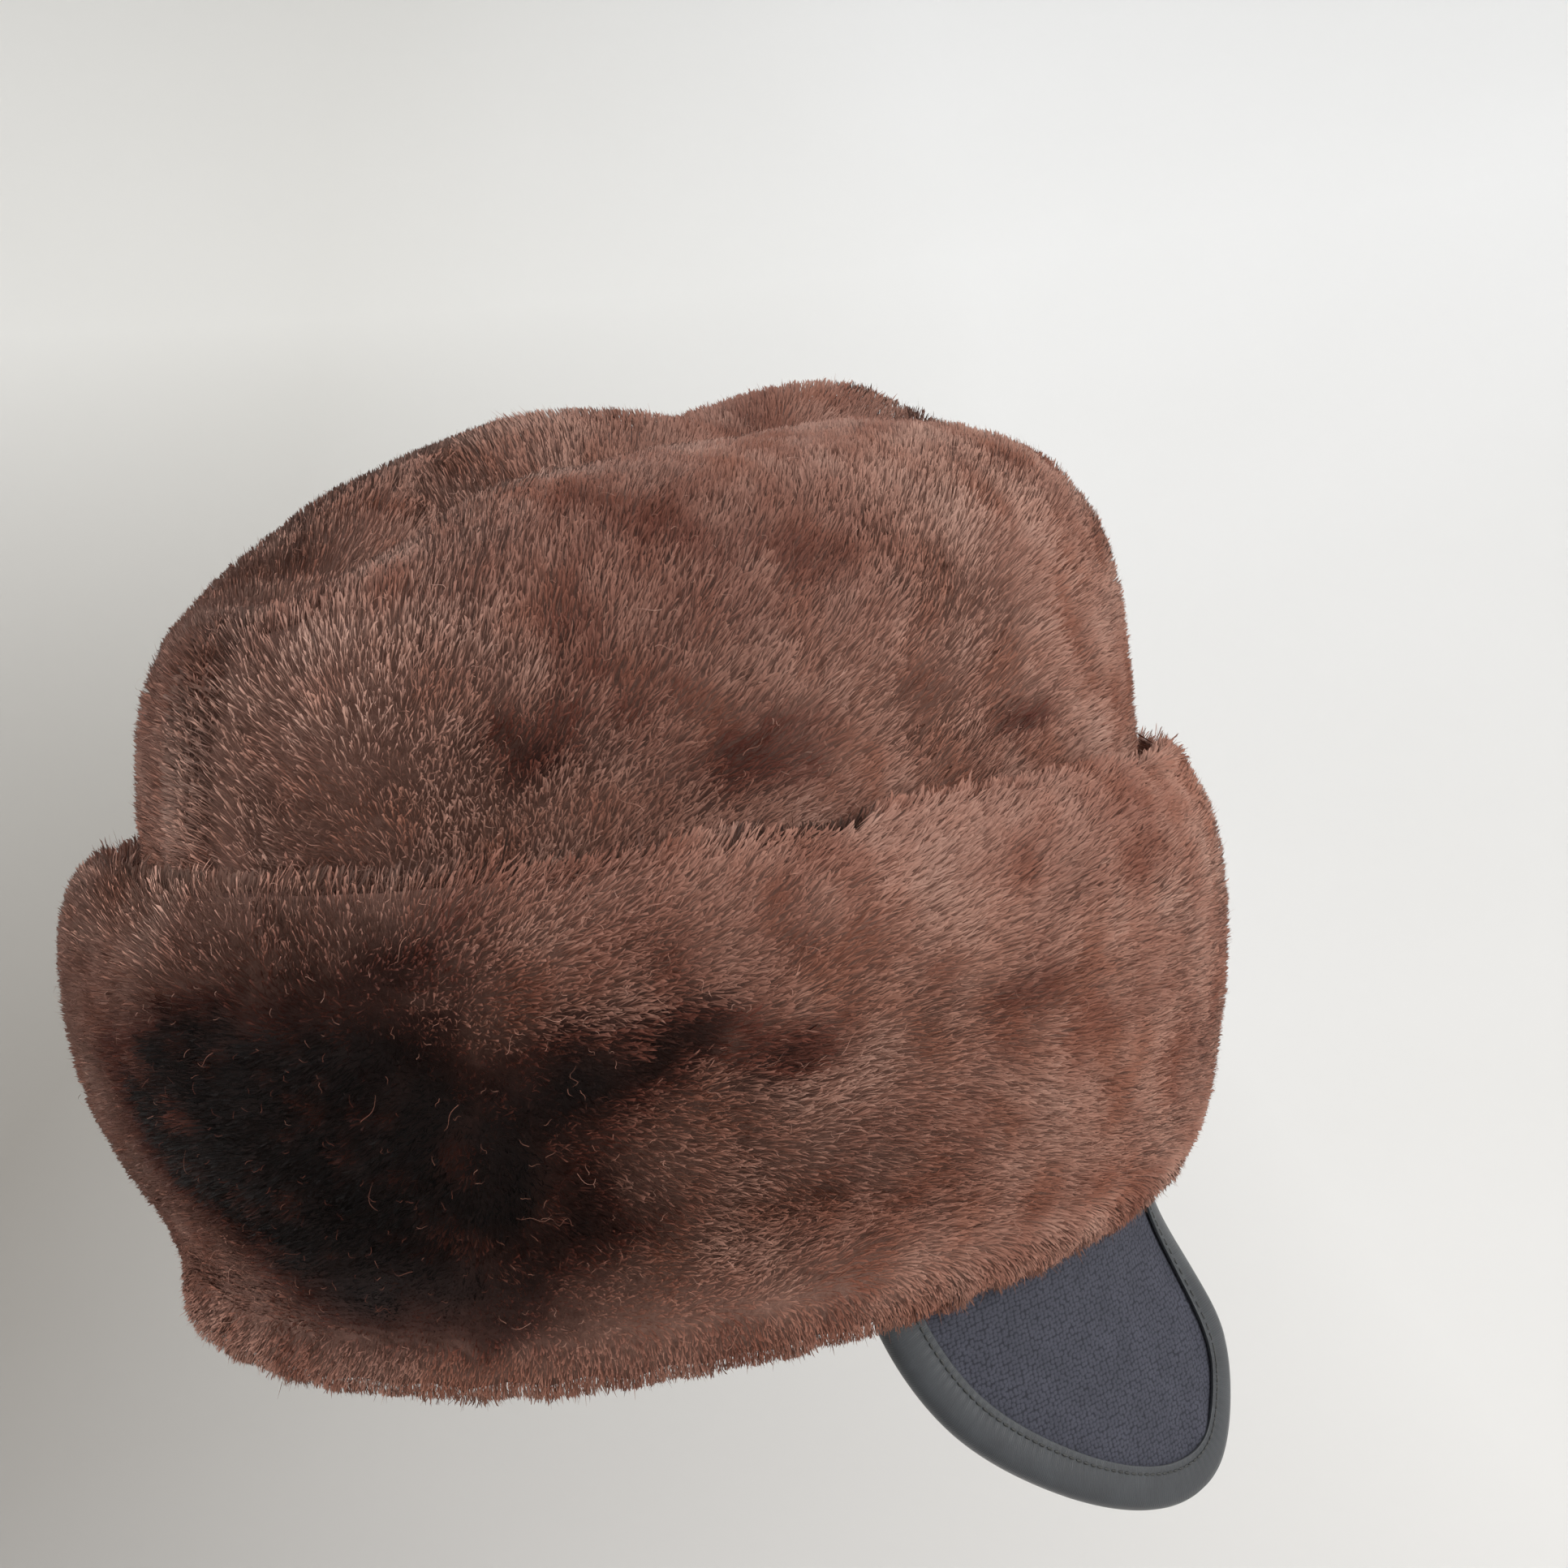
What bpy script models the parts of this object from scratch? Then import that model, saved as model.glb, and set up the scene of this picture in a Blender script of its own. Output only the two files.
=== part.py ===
"""A fur cossack hat with ear flaps of knitted wool, worn with the flaps down.

Metres, +Z up.  The wearer's face looks along -Y and the wearer's left is +X.
The origin is the middle of the head opening, level with the hem of the fur.
"""
from math import atan2, cos, hypot, pi, radians, sin

import bmesh
import bpy
from mathutils import Vector, noise

MM = 0.001

# Plan of the hat: a superellipse, measured at the widest ring of the cuff
HALF_LENGTH = 131.5 * MM
HALF_WIDTH = 111.5 * MM
PLAN_POWER = 2.15

# How far each surface lies inside that widest ring
CROWN_INSET = 17.3 * MM
HEM_SLOT_INSET = 20.7 * MM
POCKET_INSET = 26.3 * MM
POCKET_TOP_INSET = 22.1 * MM
LINING_INSET = 33.0 * MM

# Heights above the hem
CROWN_FOOT = 0.6 * MM
WALL_LEAN_TOP = 60 * MM
CROWN_WALL_TOP = 88 * MM
LINING_WALL_TOP = 78 * MM

# Crown: two fur halves that meet along a lengthwise crease
SEAM_GAP = 0.4 * MM
CREST_HALF_LENGTH = 98 * MM
LINING_HALF_LENGTH = 70 * MM
CREST_OFFSET = 25 * MM
CREASE_DEPTH = 13 * MM
SKIN_UNDER_CREASE = 9 * MM
FRONT_ROUNDNESS = 2.5
REAR_ROUNDNESS = 3.5
LINING_ROUNDNESS = 3.2
DENT_PLACE = 40 * MM
DENT_DEPTH = 4 * MM
DENT_WIDTH = 8 * MM
CROWN_STATIONS = 32
DOME_ROWS = 13
CREASE_ROWS = 3

# Height of the two crests along the hat: place along Y, left half, right half
CREST = [
    (-98 * MM, 141 * MM, 141 * MM),
    (-60 * MM, 157.5 * MM, 163 * MM),
    (-30 * MM, 164.5 * MM, 175 * MM),
    (0 * MM, 168 * MM, 182 * MM),
    (30 * MM, 170.5 * MM, 182 * MM),
    (50 * MM, 169 * MM, 184 * MM),
    (65 * MM, 165.5 * MM, 188 * MM),
    (80 * MM, 159.5 * MM, 192 * MM),
    (90 * MM, 157 * MM, 194 * MM),
    (98 * MM, 156 * MM, 193 * MM),
]

# Heights of the crown's wall rows, hidden behind the cuff
WALL_ROWS = [CROWN_FOOT, 12 * MM, 24 * MM, 36 * MM, 52 * MM, 70 * MM]

# Cuff section, from the thin lip at the hem up the outside and down the inside:
# inset from the widest ring, height, and how far the fur's locks stand there
CUFF_SECTION = [
    (20.2 * MM, 0.8 * MM, 0.0),
    (18.6 * MM, -0.4 * MM, 0.6),
    (15.0 * MM, 3.6 * MM, 0.9),
    (11.4 * MM, 9.6 * MM, 1.0),
    (8.8 * MM, 17 * MM, 1.0),
    (7.0 * MM, 25 * MM, 1.0),
    (5.0 * MM, 34 * MM, 1.0),
    (3.0 * MM, 44 * MM, 1.0),
    (1.3 * MM, 54 * MM, 1.0),
    (0.3 * MM, 64 * MM, 1.0),
    (0.7 * MM, 73 * MM, 1.0),
    (2.2 * MM, 81 * MM, 1.0),
    (5.0 * MM, 88 * MM, 1.0),
    (8.2 * MM, 93 * MM, 1.0),
    (11.4 * MM, 95.6 * MM, 0.8),
    (14.3 * MM, 95.0 * MM, 0.4),
    (16.1 * MM, 91.5 * MM, 0.0),
    (16.8 * MM, 85 * MM, 0.0),
    (16.8 * MM, 46 * MM, 0.0),
]
CUFF_STATIONS = 96
CUFF_LEAN = 0.07
CUFF_LEAN_CENTRE = 50 * MM
FRONT_TUCK = 4 * MM
FRONT_TUCK_TOP = 50 * MM
HEM_RISE = 5 * MM
HEM_RISE_TOP = 34 * MM
HEM_RISE_ANGLE = -0.75
HEM_RISE_REACH = 0.42

# Fur locks in relief
LOCK_DEPTH = 1.7 * MM
LOCK_PITCH = 15 * MM
HEM_LOCK_LENGTH = 1.6 * MM

# Ear flap: knitted cloth over a stiff core, in the slot between cuff and crown
FLAP_THICKNESS = 2.6 * MM
FLAP_ROOT_TOP = 32 * MM
FLAP_ROOT_INSET = 20.2 * MM
FLAP_HEM_INSET = 23.3 * MM
FLAP_FLARE = 0.24
FLAP_FLARE_START = 25 * MM
FLAP_MIDDLE = 15 * MM
FLAP_BOTTOM_RADIUS = 300 * MM
FLAP_BOTTOM_OFFSET = 89 * MM
FLAP_ROWS = 16
FLAP_COLUMNS = 10

# Outline of the flap from its root at the front round the tip: along Y, height
FLAP_OUTLINE = [
    (-36 * MM, 32 * MM),
    (-33 * MM, 2 * MM),
    (-20 * MM, -24.5 * MM),
    (4 * MM, -44.5 * MM),
    (30 * MM, -56 * MM),
    (50 * MM, -55 * MM),
    (62 * MM, -40 * MM),
    (62 * MM, -20 * MM),
    (59 * MM, 4 * MM),
    (58 * MM, 32 * MM),
]

# Satin tape folded over the flap's edge
TAPE_WIDTH = 7 * MM
TAPE_THICKNESS = 0.6 * MM
TAPE_GAP = 0.45 * MM
TAPE_EDGE_GAP = 0.8 * MM
TAPE_TOP = 9 * MM
TAPE_STATIONS = 32

COLOURS = {
    "fur_crown": (0.19, 0.085, 0.062, 1.0),
    "fur_cuff": (0.16, 0.07, 0.05, 1.0),
    "knit": (0.06, 0.062, 0.085, 1.0),
    "satin": (0.055, 0.062, 0.062, 1.0),
}


def clear_scene():
    for item in list(bpy.data.objects):
        bpy.data.objects.remove(item, do_unlink=True)


def smoothstep(low, high, value):
    t = min(max((value - low) / (high - low), 0.0), 1.0)
    return t * t * (3.0 - 2.0 * t)


def mix(a, b, t):
    return a + (b - a) * t


def spline(points, t):
    """Smooth curve through short tuples; t runs from 0 to len(points) - 1."""
    k = min(max(int(t), 0), len(points) - 2)
    u = t - k
    before = points[max(k - 1, 0)]
    after = points[min(k + 2, len(points) - 1)]
    out = []
    for p0, p1, p2, p3 in zip(before, points[k], points[k + 1], after):
        bend = 2 * p0 - 5 * p1 + 4 * p2 - p3
        twist = 3 * p1 - p0 - 3 * p2 + p3
        out.append(0.5 * (2 * p1 + (p2 - p0) * u + bend * u * u + twist * u ** 3))
    return out


def crest_heights(y):
    """Heights of the left and the right crest at a place along the hat."""
    y = min(max(y, CREST[0][0]), CREST[-1][0])
    for k in range(len(CREST) - 1):
        if y <= CREST[k + 1][0]:
            share = (y - CREST[k][0]) / (CREST[k + 1][0] - CREST[k][0])
            row = spline(CREST, k + share)
            return row[1], row[2]
    return CREST[-1][1], CREST[-1][2]


def plan_point(angle, inset):
    """Point of the hat's plan; angle 0 is the front and a quarter turn is +X."""
    c, s = cos(angle), sin(angle)
    length = HALF_LENGTH - inset
    width = HALF_WIDTH - inset
    reach = (abs(c / length) ** PLAN_POWER + abs(s / width) ** PLAN_POWER) ** (-1.0 / PLAN_POWER)
    return reach * s, -reach * c


def ring_x(y, inset):
    """Half width of the plan at a place along the hat."""
    share = min(abs(y) / (HALF_LENGTH - inset), 1.0)
    return (HALF_WIDTH - inset) * (1.0 - share ** PLAN_POWER) ** (1.0 / PLAN_POWER)


def lock_relief(place, pitch=LOCK_PITCH):
    """Height of the fur's locks, from -0.5 to 0.5 of their depth."""
    spot = Vector(place) / pitch
    coarse = noise.noise(Vector((spot.x, spot.y, spot.z * 0.55)))
    fine = noise.noise(Vector((spot.x * 2.1, spot.y * 2.1, spot.z * 1.1 + 7.0)))
    return 0.7 * coarse + 0.35 * fine


def crown_wall_inset(y, z):
    """The crown's wall leans in towards the hem, with a pocket for each flap."""
    lean = 1.0 - smoothstep(0.0, WALL_LEAN_TOP, z)
    plain = mix(CROWN_INSET, HEM_SLOT_INSET, lean)
    depth = mix(POCKET_TOP_INSET, POCKET_INSET, 1.0 - smoothstep(0.0, FLAP_ROOT_TOP, z))
    in_front = smoothstep(FLAP_OUTLINE[0][0] - 14 * MM, FLAP_OUTLINE[0][0] - 4 * MM, y)
    behind = 1.0 - smoothstep(FLAP_OUTLINE[-2][0] + 4 * MM, FLAP_OUTLINE[-2][0] + 14 * MM, y)
    below = 1.0 - smoothstep(FLAP_ROOT_TOP + 4 * MM, FLAP_ROOT_TOP + 18 * MM, z)
    return mix(plain, max(depth, plain), in_front * behind * below)


def crown_outer_column(angle, side):
    """One line up the outside of a crown half, from the foot to the crease."""
    column = []
    for z in WALL_ROWS:
        x, y = plan_point(angle, CROWN_INSET)
        x, y = plan_point(angle, crown_wall_inset(y, z))
        column.append(Vector((x, y, z)))
    wall = Vector((*plan_point(angle, CROWN_INSET), CROWN_WALL_TOP))
    crest_y = -CREST_HALF_LENGTH * cos(angle)
    spread = sin(angle) ** 0.5 if sin(angle) > 0.0 else 0.0
    left, right = crest_heights(crest_y)
    crest_z = mix(0.5 * (left + right), left if side > 0 else right, spread)
    crest_x = CREST_OFFSET * spread
    roundness = mix(FRONT_ROUNDNESS, REAR_ROUNDNESS, 0.5 - 0.5 * cos(angle))
    for k in range(DOME_ROWS + 1):
        turn = 0.5 * pi * k / DOME_ROWS
        inward = max(cos(turn), 0.0) ** (2.0 / roundness)
        rise = sin(turn) ** (2.0 / roundness)
        x = mix(crest_x, wall.x, inward)
        y = mix(crest_y, wall.y, inward)
        z = mix(CROWN_WALL_TOP, crest_z, rise)
        column.append(Vector((x, y, z)))
    depth = CREASE_DEPTH * spread
    valley = min(left, right) - depth if spread > 0.0 else crest_z
    for k in range(1, CREASE_ROWS + 1):
        t = k / CREASE_ROWS
        z = mix(crest_z, mix(crest_z, valley, spread), t ** 1.5)
        column.append(Vector((mix(crest_x, 0.0, t), crest_y * mix(1.0, 0.985, t), z)))
    return column


def crown_inner_column(angle, side):
    """The same line up the lining, with as many points."""
    column = []
    for z in WALL_ROWS:
        column.append(Vector((*plan_point(angle, LINING_INSET), z)))
    wall = Vector((*plan_point(angle, LINING_INSET), LINING_WALL_TOP))
    crest_y = -LINING_HALF_LENGTH * cos(angle)
    left, right = crest_heights(crest_y)
    top = min(left, right) - CREASE_DEPTH - SKIN_UNDER_CREASE
    rows = DOME_ROWS + CREASE_ROWS
    for k in range(rows + 1):
        turn = 0.5 * pi * k / rows
        inward = max(cos(turn), 0.0) ** (2.0 / LINING_ROUNDNESS)
        rise = sin(turn) ** (2.0 / LINING_ROUNDNESS)
        x = wall.x * inward
        y = mix(crest_y, wall.y, inward)
        column.append(Vector((x, y, mix(LINING_WALL_TOP, top, rise))))
    return column


def roughen_crown(columns, side):
    """Raise the locks of the fur above the cuff, and press in the rear dent."""
    shaped = [[point.copy() for point in column] for column in columns]
    for i in range(1, len(columns) - 1):
        for j in range(1, len(columns[i]) - 1):
            point = columns[i][j]
            along = columns[i + 1][j] - columns[i - 1][j]
            up = columns[i][j + 1] - columns[i][j - 1]
            normal = along.cross(up)
            if normal.length < 1e-12:
                continue
            normal.normalize()
            above = smoothstep(CROWN_WALL_TOP, CROWN_WALL_TOP + 12 * MM, point.z)
            off_seam = smoothstep(2 * MM, 14 * MM, abs(point.x))
            height = LOCK_DEPTH * lock_relief(point) * above * off_seam
            if side < 0:
                across = point.y - DENT_PLACE + 0.4 * (point.x - CREST_OFFSET)
                high = smoothstep(150 * MM, 178 * MM, point.z)
                height -= DENT_DEPTH * high * 2.718 ** (-(across / DENT_WIDTH) ** 2)
            shaped[i][j] = point + normal * height
    return shaped


def closed_shell(name, outer, inner, mirror):
    """Skin two matching grids of points and close the rim between them."""
    mesh = bmesh.new()
    sign = -1.0 if mirror else 1.0

    def grid(columns):
        made = []
        last = len(columns) - 1
        for i, column in enumerate(columns):
            line = []
            for j, point in enumerate(column):
                on_seam = i in (0, last) or j == len(column) - 1
                x = 0.5 * SEAM_GAP if on_seam else max(point.x, 0.5 * SEAM_GAP)
                line.append(mesh.verts.new((sign * x, point.y, point.z)))
            made.append(line)
        return made

    skin = grid(outer)
    lining = grid(inner)
    columns, rows = len(skin), len(skin[0])
    for i in range(columns - 1):
        for j in range(rows - 1):
            mesh.faces.new((skin[i][j], skin[i + 1][j], skin[i + 1][j + 1], skin[i][j + 1]))
            mesh.faces.new((lining[i][j + 1], lining[i + 1][j + 1], lining[i + 1][j], lining[i][j]))
        mesh.faces.new((skin[i + 1][0], skin[i][0], lining[i][0], lining[i + 1][0]))
        mesh.faces.new((skin[i][-1], skin[i + 1][-1], lining[i + 1][-1], lining[i][-1]))
    for j in range(rows - 1):
        mesh.faces.new((skin[0][j], skin[0][j + 1], lining[0][j + 1], lining[0][j]))
        mesh.faces.new((skin[-1][j + 1], skin[-1][j], lining[-1][j], lining[-1][j + 1]))
    return finish_mesh(name, mesh)


def finish_mesh(name, mesh):
    bmesh.ops.remove_doubles(mesh, verts=mesh.verts, dist=0.00001)
    bmesh.ops.recalc_face_normals(mesh, faces=mesh.faces)
    data = bpy.data.meshes.new(name)
    mesh.to_mesh(data)
    mesh.free()
    item = bpy.data.objects.new(name, data)
    return item


def make_material(name):
    material = bpy.data.materials.new(name)
    material.use_nodes = True
    shader = material.node_tree.nodes["Principled BSDF"]
    shader.inputs["Base Color"].default_value = COLOURS[name]
    shader.inputs["Roughness"].default_value = 0.45 if name == "satin" else 0.95
    shader.inputs["Metallic"].default_value = 0.0
    return material


def make_crown_half(name, side):
    angles = [pi * i / CROWN_STATIONS for i in range(CROWN_STATIONS + 1)]
    outer = [crown_outer_column(angle, side) for angle in angles]
    inner = [crown_inner_column(angle, side) for angle in angles]
    return closed_shell(name, roughen_crown(outer, side), inner, side < 0)


def cuff_point(angle, step, station):
    inset, z, fur = CUFF_SECTION[step]
    turn = (angle - HEM_RISE_ANGLE + pi) % (2.0 * pi) - pi
    rise = HEM_RISE * 2.718 ** (-(turn / HEM_RISE_REACH) ** 2)
    lean = CUFF_LEAN * (z - CUFF_LEAN_CENTRE) * cos(angle)
    low = smoothstep(1 * MM, 8 * MM, z) * (1.0 - smoothstep(12 * MM, FRONT_TUCK_TOP, z))
    inset -= lean * fur * smoothstep(2 * MM, 12 * MM, z)
    inset += FRONT_TUCK * low * max(cos(angle), 0.0)
    x, y = plan_point(angle, inset)
    outward = Vector((x / HALF_WIDTH ** 2, y / HALF_LENGTH ** 2, 0.0)).normalized()
    lift = fur * LOCK_DEPTH * lock_relief((x, y, z))
    point = Vector((x, y, z + rise * (1.0 - smoothstep(0.0, HEM_RISE_TOP, z)))) + outward * lift
    if step == 1:
        point.z -= HEM_LOCK_LENGTH * (0.6 * (station % 2) + 0.8 * abs(lock_relief((y, x, z))))
    if 12 <= step <= 14:
        point.z += 0.8 * LOCK_DEPTH * lock_relief((y, z, x))
    return point


def make_cuff():
    """A closed ring lofted through one section, station by station."""
    mesh = bmesh.new()
    rings = []
    for i in range(CUFF_STATIONS):
        angle = 2.0 * pi * i / CUFF_STATIONS
        rings.append([mesh.verts.new(cuff_point(angle, k, i)) for k in range(len(CUFF_SECTION))])
    count = len(CUFF_SECTION)
    for i in range(CUFF_STATIONS):
        here, there = rings[i], rings[(i + 1) % CUFF_STATIONS]
        for k in range(count):
            following = (k + 1) % count
            mesh.faces.new((here[k], there[k], there[following], here[following]))
    return finish_mesh("cuff", mesh)


def flap_middle_surface(y, z):
    """Point in the middle of the flap's thickness; it flattens below the hem."""
    inset = mix(FLAP_HEM_INSET, FLAP_ROOT_INSET, min(max(z / FLAP_ROOT_TOP, 0.0), 1.0))
    bent = ring_x(y, inset)
    flat = FLAP_BOTTOM_OFFSET - (y - FLAP_MIDDLE) ** 2 / (2.0 * FLAP_BOTTOM_RADIUS)
    drop = max(-z, 0.0)
    flatten = smoothstep(0.0, 34 * MM, drop)
    flare = FLAP_FLARE * drop * drop / (drop + FLAP_FLARE_START)
    return Vector((mix(bent, flat, flatten) + flare, y, z))


def flap_normal(y, z):
    step = 0.5 * MM
    along = flap_middle_surface(y + step, z) - flap_middle_surface(y - step, z)
    up = flap_middle_surface(y, z + step) - flap_middle_surface(y, z - step)
    return along.cross(up).normalized()


def flap_edge(samples):
    """Evenly spaced points of the flap's outline, as (y, z)."""
    fine = [spline(FLAP_OUTLINE, (len(FLAP_OUTLINE) - 1) * k / 600.0) for k in range(601)]
    lengths = [0.0]
    for a, b in zip(fine, fine[1:]):
        lengths.append(lengths[-1] + hypot(b[0] - a[0], b[1] - a[1]))
    out = []
    k = 0
    for n in range(samples + 1):
        target = lengths[-1] * n / samples
        while k < len(fine) - 2 and lengths[k + 1] < target:
            k += 1
        share = (target - lengths[k]) / (lengths[k + 1] - lengths[k])
        out.append((mix(fine[k][0], fine[k + 1][0], share), mix(fine[k][1], fine[k + 1][1], share)))
    return out


def flap_span(z, edge):
    """Where the outline crosses a height, at the front and at the rear."""
    low = min(range(len(edge)), key=lambda k: edge[k][1])
    found = []
    for side in (edge[:low + 1], edge[low:][::-1]):
        y = side[-1][0]
        for a, b in zip(side, side[1:]):
            if a[1] >= z >= b[1] and a[1] > b[1]:
                y = mix(a[0], b[0], (a[1] - z) / (a[1] - b[1]))
                break
        found.append(y)
    return found


def make_flap(name, side):
    """The flap's middle surface as a grid, thickened both ways."""
    edge = flap_edge(400)
    bottom = min(point[1] for point in edge)
    mesh = bmesh.new()
    rows = []
    for r in range(FLAP_ROWS + 1):
        share = sin(0.5 * pi * r / FLAP_ROWS)
        z = mix(FLAP_ROOT_TOP, bottom + 0.25 * MM, share)
        front, rear = flap_span(z, edge)
        line = []
        for c in range(FLAP_COLUMNS + 1):
            y = mix(front, rear, c / FLAP_COLUMNS)
            point = flap_middle_surface(y, z)
            line.append(mesh.verts.new((side * point.x, point.y, point.z)))
        rows.append(line)
    for above, below in zip(rows, rows[1:]):
        for c in range(FLAP_COLUMNS):
            corners = (above[c], below[c], below[c + 1], above[c + 1])
            mesh.faces.new(corners if side > 0 else corners[::-1])
    data = bpy.data.meshes.new(name)
    mesh.to_mesh(data)
    mesh.free()
    item = bpy.data.objects.new(name, data)
    cloth = item.modifiers.new("cloth", "SOLIDIFY")
    cloth.thickness = FLAP_THICKNESS
    cloth.offset = 0.0
    return item


def make_tape(name, side):
    """A folded strip swept round the free edge of the flap."""
    face = 0.5 * FLAP_THICKNESS + TAPE_GAP
    skin = face + TAPE_THICKNESS
    fold = TAPE_EDGE_GAP + TAPE_THICKNESS
    section = [
        (TAPE_WIDTH, face), (TAPE_WIDTH, skin), (0.3 * MM, skin), (-fold, 0.6 * skin),
        (-fold, -0.6 * skin), (0.3 * MM, -skin), (TAPE_WIDTH, -skin), (TAPE_WIDTH, -face),
        (-TAPE_EDGE_GAP, -face), (-TAPE_EDGE_GAP, face),
    ]
    edge = flap_edge(400)
    free = [point for point in edge if point[1] <= TAPE_TOP]
    mesh = bmesh.new()
    rings = []
    for n in range(TAPE_STATIONS + 1):
        k = round((len(free) - 1) * n / TAPE_STATIONS)
        before = free[max(k - 1, 0)]
        after = free[min(k + 1, len(free) - 1)]
        y, z = free[k]
        middle = flap_middle_surface(y, z)
        tangent = (flap_middle_surface(*after) - flap_middle_surface(*before)).normalized()
        normal = flap_normal(y, z)
        inward = normal.cross(tangent).normalized()
        ring = []
        for across, out in section:
            point = middle + inward * across + normal * out
            ring.append(mesh.verts.new((side * point.x, point.y, point.z)))
        rings.append(ring)
    count = len(section)
    for here, there in zip(rings, rings[1:]):
        for k in range(count):
            following = (k + 1) % count
            mesh.faces.new((here[k], there[k], there[following], here[following]))
    mesh.faces.new(rings[0])
    mesh.faces.new(rings[-1][::-1])
    return finish_mesh(name, mesh)


def main():
    clear_scene()
    hat = bpy.data.collections.new("cossack_hat")
    bpy.context.scene.collection.children.link(hat)
    materials = {name: make_material(name) for name in COLOURS}
    pieces = [
        (make_crown_half("crown_left", 1), "fur_crown"),
        (make_crown_half("crown_right", -1), "fur_crown"),
        (make_cuff(), "fur_cuff"),
        (make_flap("ear_flap_left", 1), "knit"),
        (make_flap("ear_flap_right", -1), "knit"),
        (make_tape("ear_flap_left_binding", 1), "satin"),
        (make_tape("ear_flap_right_binding", -1), "satin"),
    ]
    for item, material in pieces:
        hat.objects.link(item)
        item.data.materials.append(materials[material])
        item.data.shade_smooth()
        item.data.set_sharp_from_angle(angle=radians(50))


main()
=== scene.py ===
"""Sheared sheepskin hat: a crown of two halves, a turned-up cuff and two bound ear flaps.

The pile is thousands of short leaning fibres rooted on a skin that is drawn in from the
solid's form, so the tips end where the form does.
"""
from itertools import product
from math import cos, hypot, pi, radians, sin, tau

import bmesh
import bpy
import numpy as np
from mathutils import Matrix, Vector


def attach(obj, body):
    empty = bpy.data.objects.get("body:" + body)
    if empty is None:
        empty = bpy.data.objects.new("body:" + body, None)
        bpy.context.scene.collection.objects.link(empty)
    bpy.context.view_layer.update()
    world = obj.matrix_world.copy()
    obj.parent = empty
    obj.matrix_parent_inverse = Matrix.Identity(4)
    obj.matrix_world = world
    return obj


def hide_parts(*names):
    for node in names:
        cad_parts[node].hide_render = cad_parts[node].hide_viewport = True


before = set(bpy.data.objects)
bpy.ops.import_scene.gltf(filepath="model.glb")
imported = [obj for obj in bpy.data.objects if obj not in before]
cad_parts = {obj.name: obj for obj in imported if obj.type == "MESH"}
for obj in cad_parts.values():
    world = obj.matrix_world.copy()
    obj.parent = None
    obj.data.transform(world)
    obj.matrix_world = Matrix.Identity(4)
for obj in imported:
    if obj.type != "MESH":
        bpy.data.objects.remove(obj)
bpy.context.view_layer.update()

MM = 0.001
UP = np.array([0.0, 0.0, 1.0])

# Plan of the hat, a rounded oval
HALF_LENGTH = 131.5 * MM
HALF_WIDTH = 111.5 * MM
PLAN_POWER = 2.15

# The floor's direction that runs to the right in the photograph
VIEW_RIGHT_X = 0.683
VIEW_RIGHT_Y = 0.724

# Ear flap: the cloth's middle surface and outline (y, z), as in the solids
FLAP_THICKNESS = 2.6 * MM
FLAP_ROOT_TOP = 32 * MM
FLAP_ROOT_INSET = 20.2 * MM
FLAP_HEM_INSET = 23.3 * MM
FLAP_FLARE = 0.24
FLAP_FLARE_START = 25 * MM
FLAP_MIDDLE = 15 * MM
FLAP_BOTTOM_RADIUS = 300 * MM
FLAP_BOTTOM_OFFSET = 89 * MM
FLAP_OUTLINE = [
    (-36 * MM, 32 * MM), (-33 * MM, 2 * MM), (-20 * MM, -24.5 * MM), (4 * MM, -44.5 * MM),
    (30 * MM, -56 * MM), (50 * MM, -55 * MM), (62 * MM, -40 * MM), (62 * MM, -20 * MM),
    (59 * MM, 4 * MM), (58 * MM, 32 * MM),
]
TAPE_WIDTH = 7 * MM
TAPE_THICKNESS = 0.6 * MM
TAPE_GAP = 0.45 * MM
TAPE_EDGE_GAP = 0.8 * MM
TAPE_TOP = 9 * MM
STITCH_INSET = 1.5 * MM
STITCH_PITCH = 2.2 * MM
STITCH_LENGTH = 1.6 * MM
STATIONS_PER_STITCH = 6
TAPE_STATIONS = 380
TAPE_PUCKER = 0.13 * MM
THREAD_RADIUS = 0.26 * MM

# The skin under the pile: how far it lies under the tips, and how its parts are told apart
PILE_DEPTH = 5.2 * MM
SHORTEST_PILE = 2.2 * MM
CROWN_WALL_INSET = 16.6 * MM
CROWN_FOOT_LIFT = 5.5 * MM
CUFF_FOOT_LIFT = 2.4 * MM
FOOT_HEIGHT = 3 * MM
CREASE_HALF_WIDTH = 1.2 * MM
CREASE_TOP = 140 * MM
CROWN_HIDDEN_TOP = 74 * MM
CROWN_HIDDEN_FADE = 12 * MM
CUFF_HEM_TOP = 8 * MM
CUFF_WALL_TOP = 80 * MM
CUFF_RIM_START = 86 * MM

# The hem lifts a little at the front right, as in the solid
HEM_RISE = 5 * MM
HEM_RISE_ANGLE = -0.75
HEM_RISE_REACH = 0.42


# What grows in each piece of pile
SHEARED_FIBRES = 74000
FINE_FIBRES = 12000
HOOKED_TIPS = 900
STRAY_HAIRS = 120
SHEARED_HALF_WIDTH = 0.18 * MM
FINE_HALF_WIDTH = 0.08 * MM
BLADE_THICKNESS = 0.04 * MM

# How the pile is combed, in degrees: its turn from straight up, to the right as seen from
# outside, and its lean from upright, each with a slow change and the spread between fibres
COMB_TURN = {"cuff": 44, "crown": 20}
COMB_SWIRL = 34
COMB_WAVE = 24
COMB_SPREAD = 17
LEAN = 33
LEAN_WAVE = 9
LEAN_SPREAD = 6
LEAN_RANGE = (2, 60)
FINE_LEAN_SPREAD = 8
FINE_LEAN_RANGE = (-20, 62)
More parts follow.
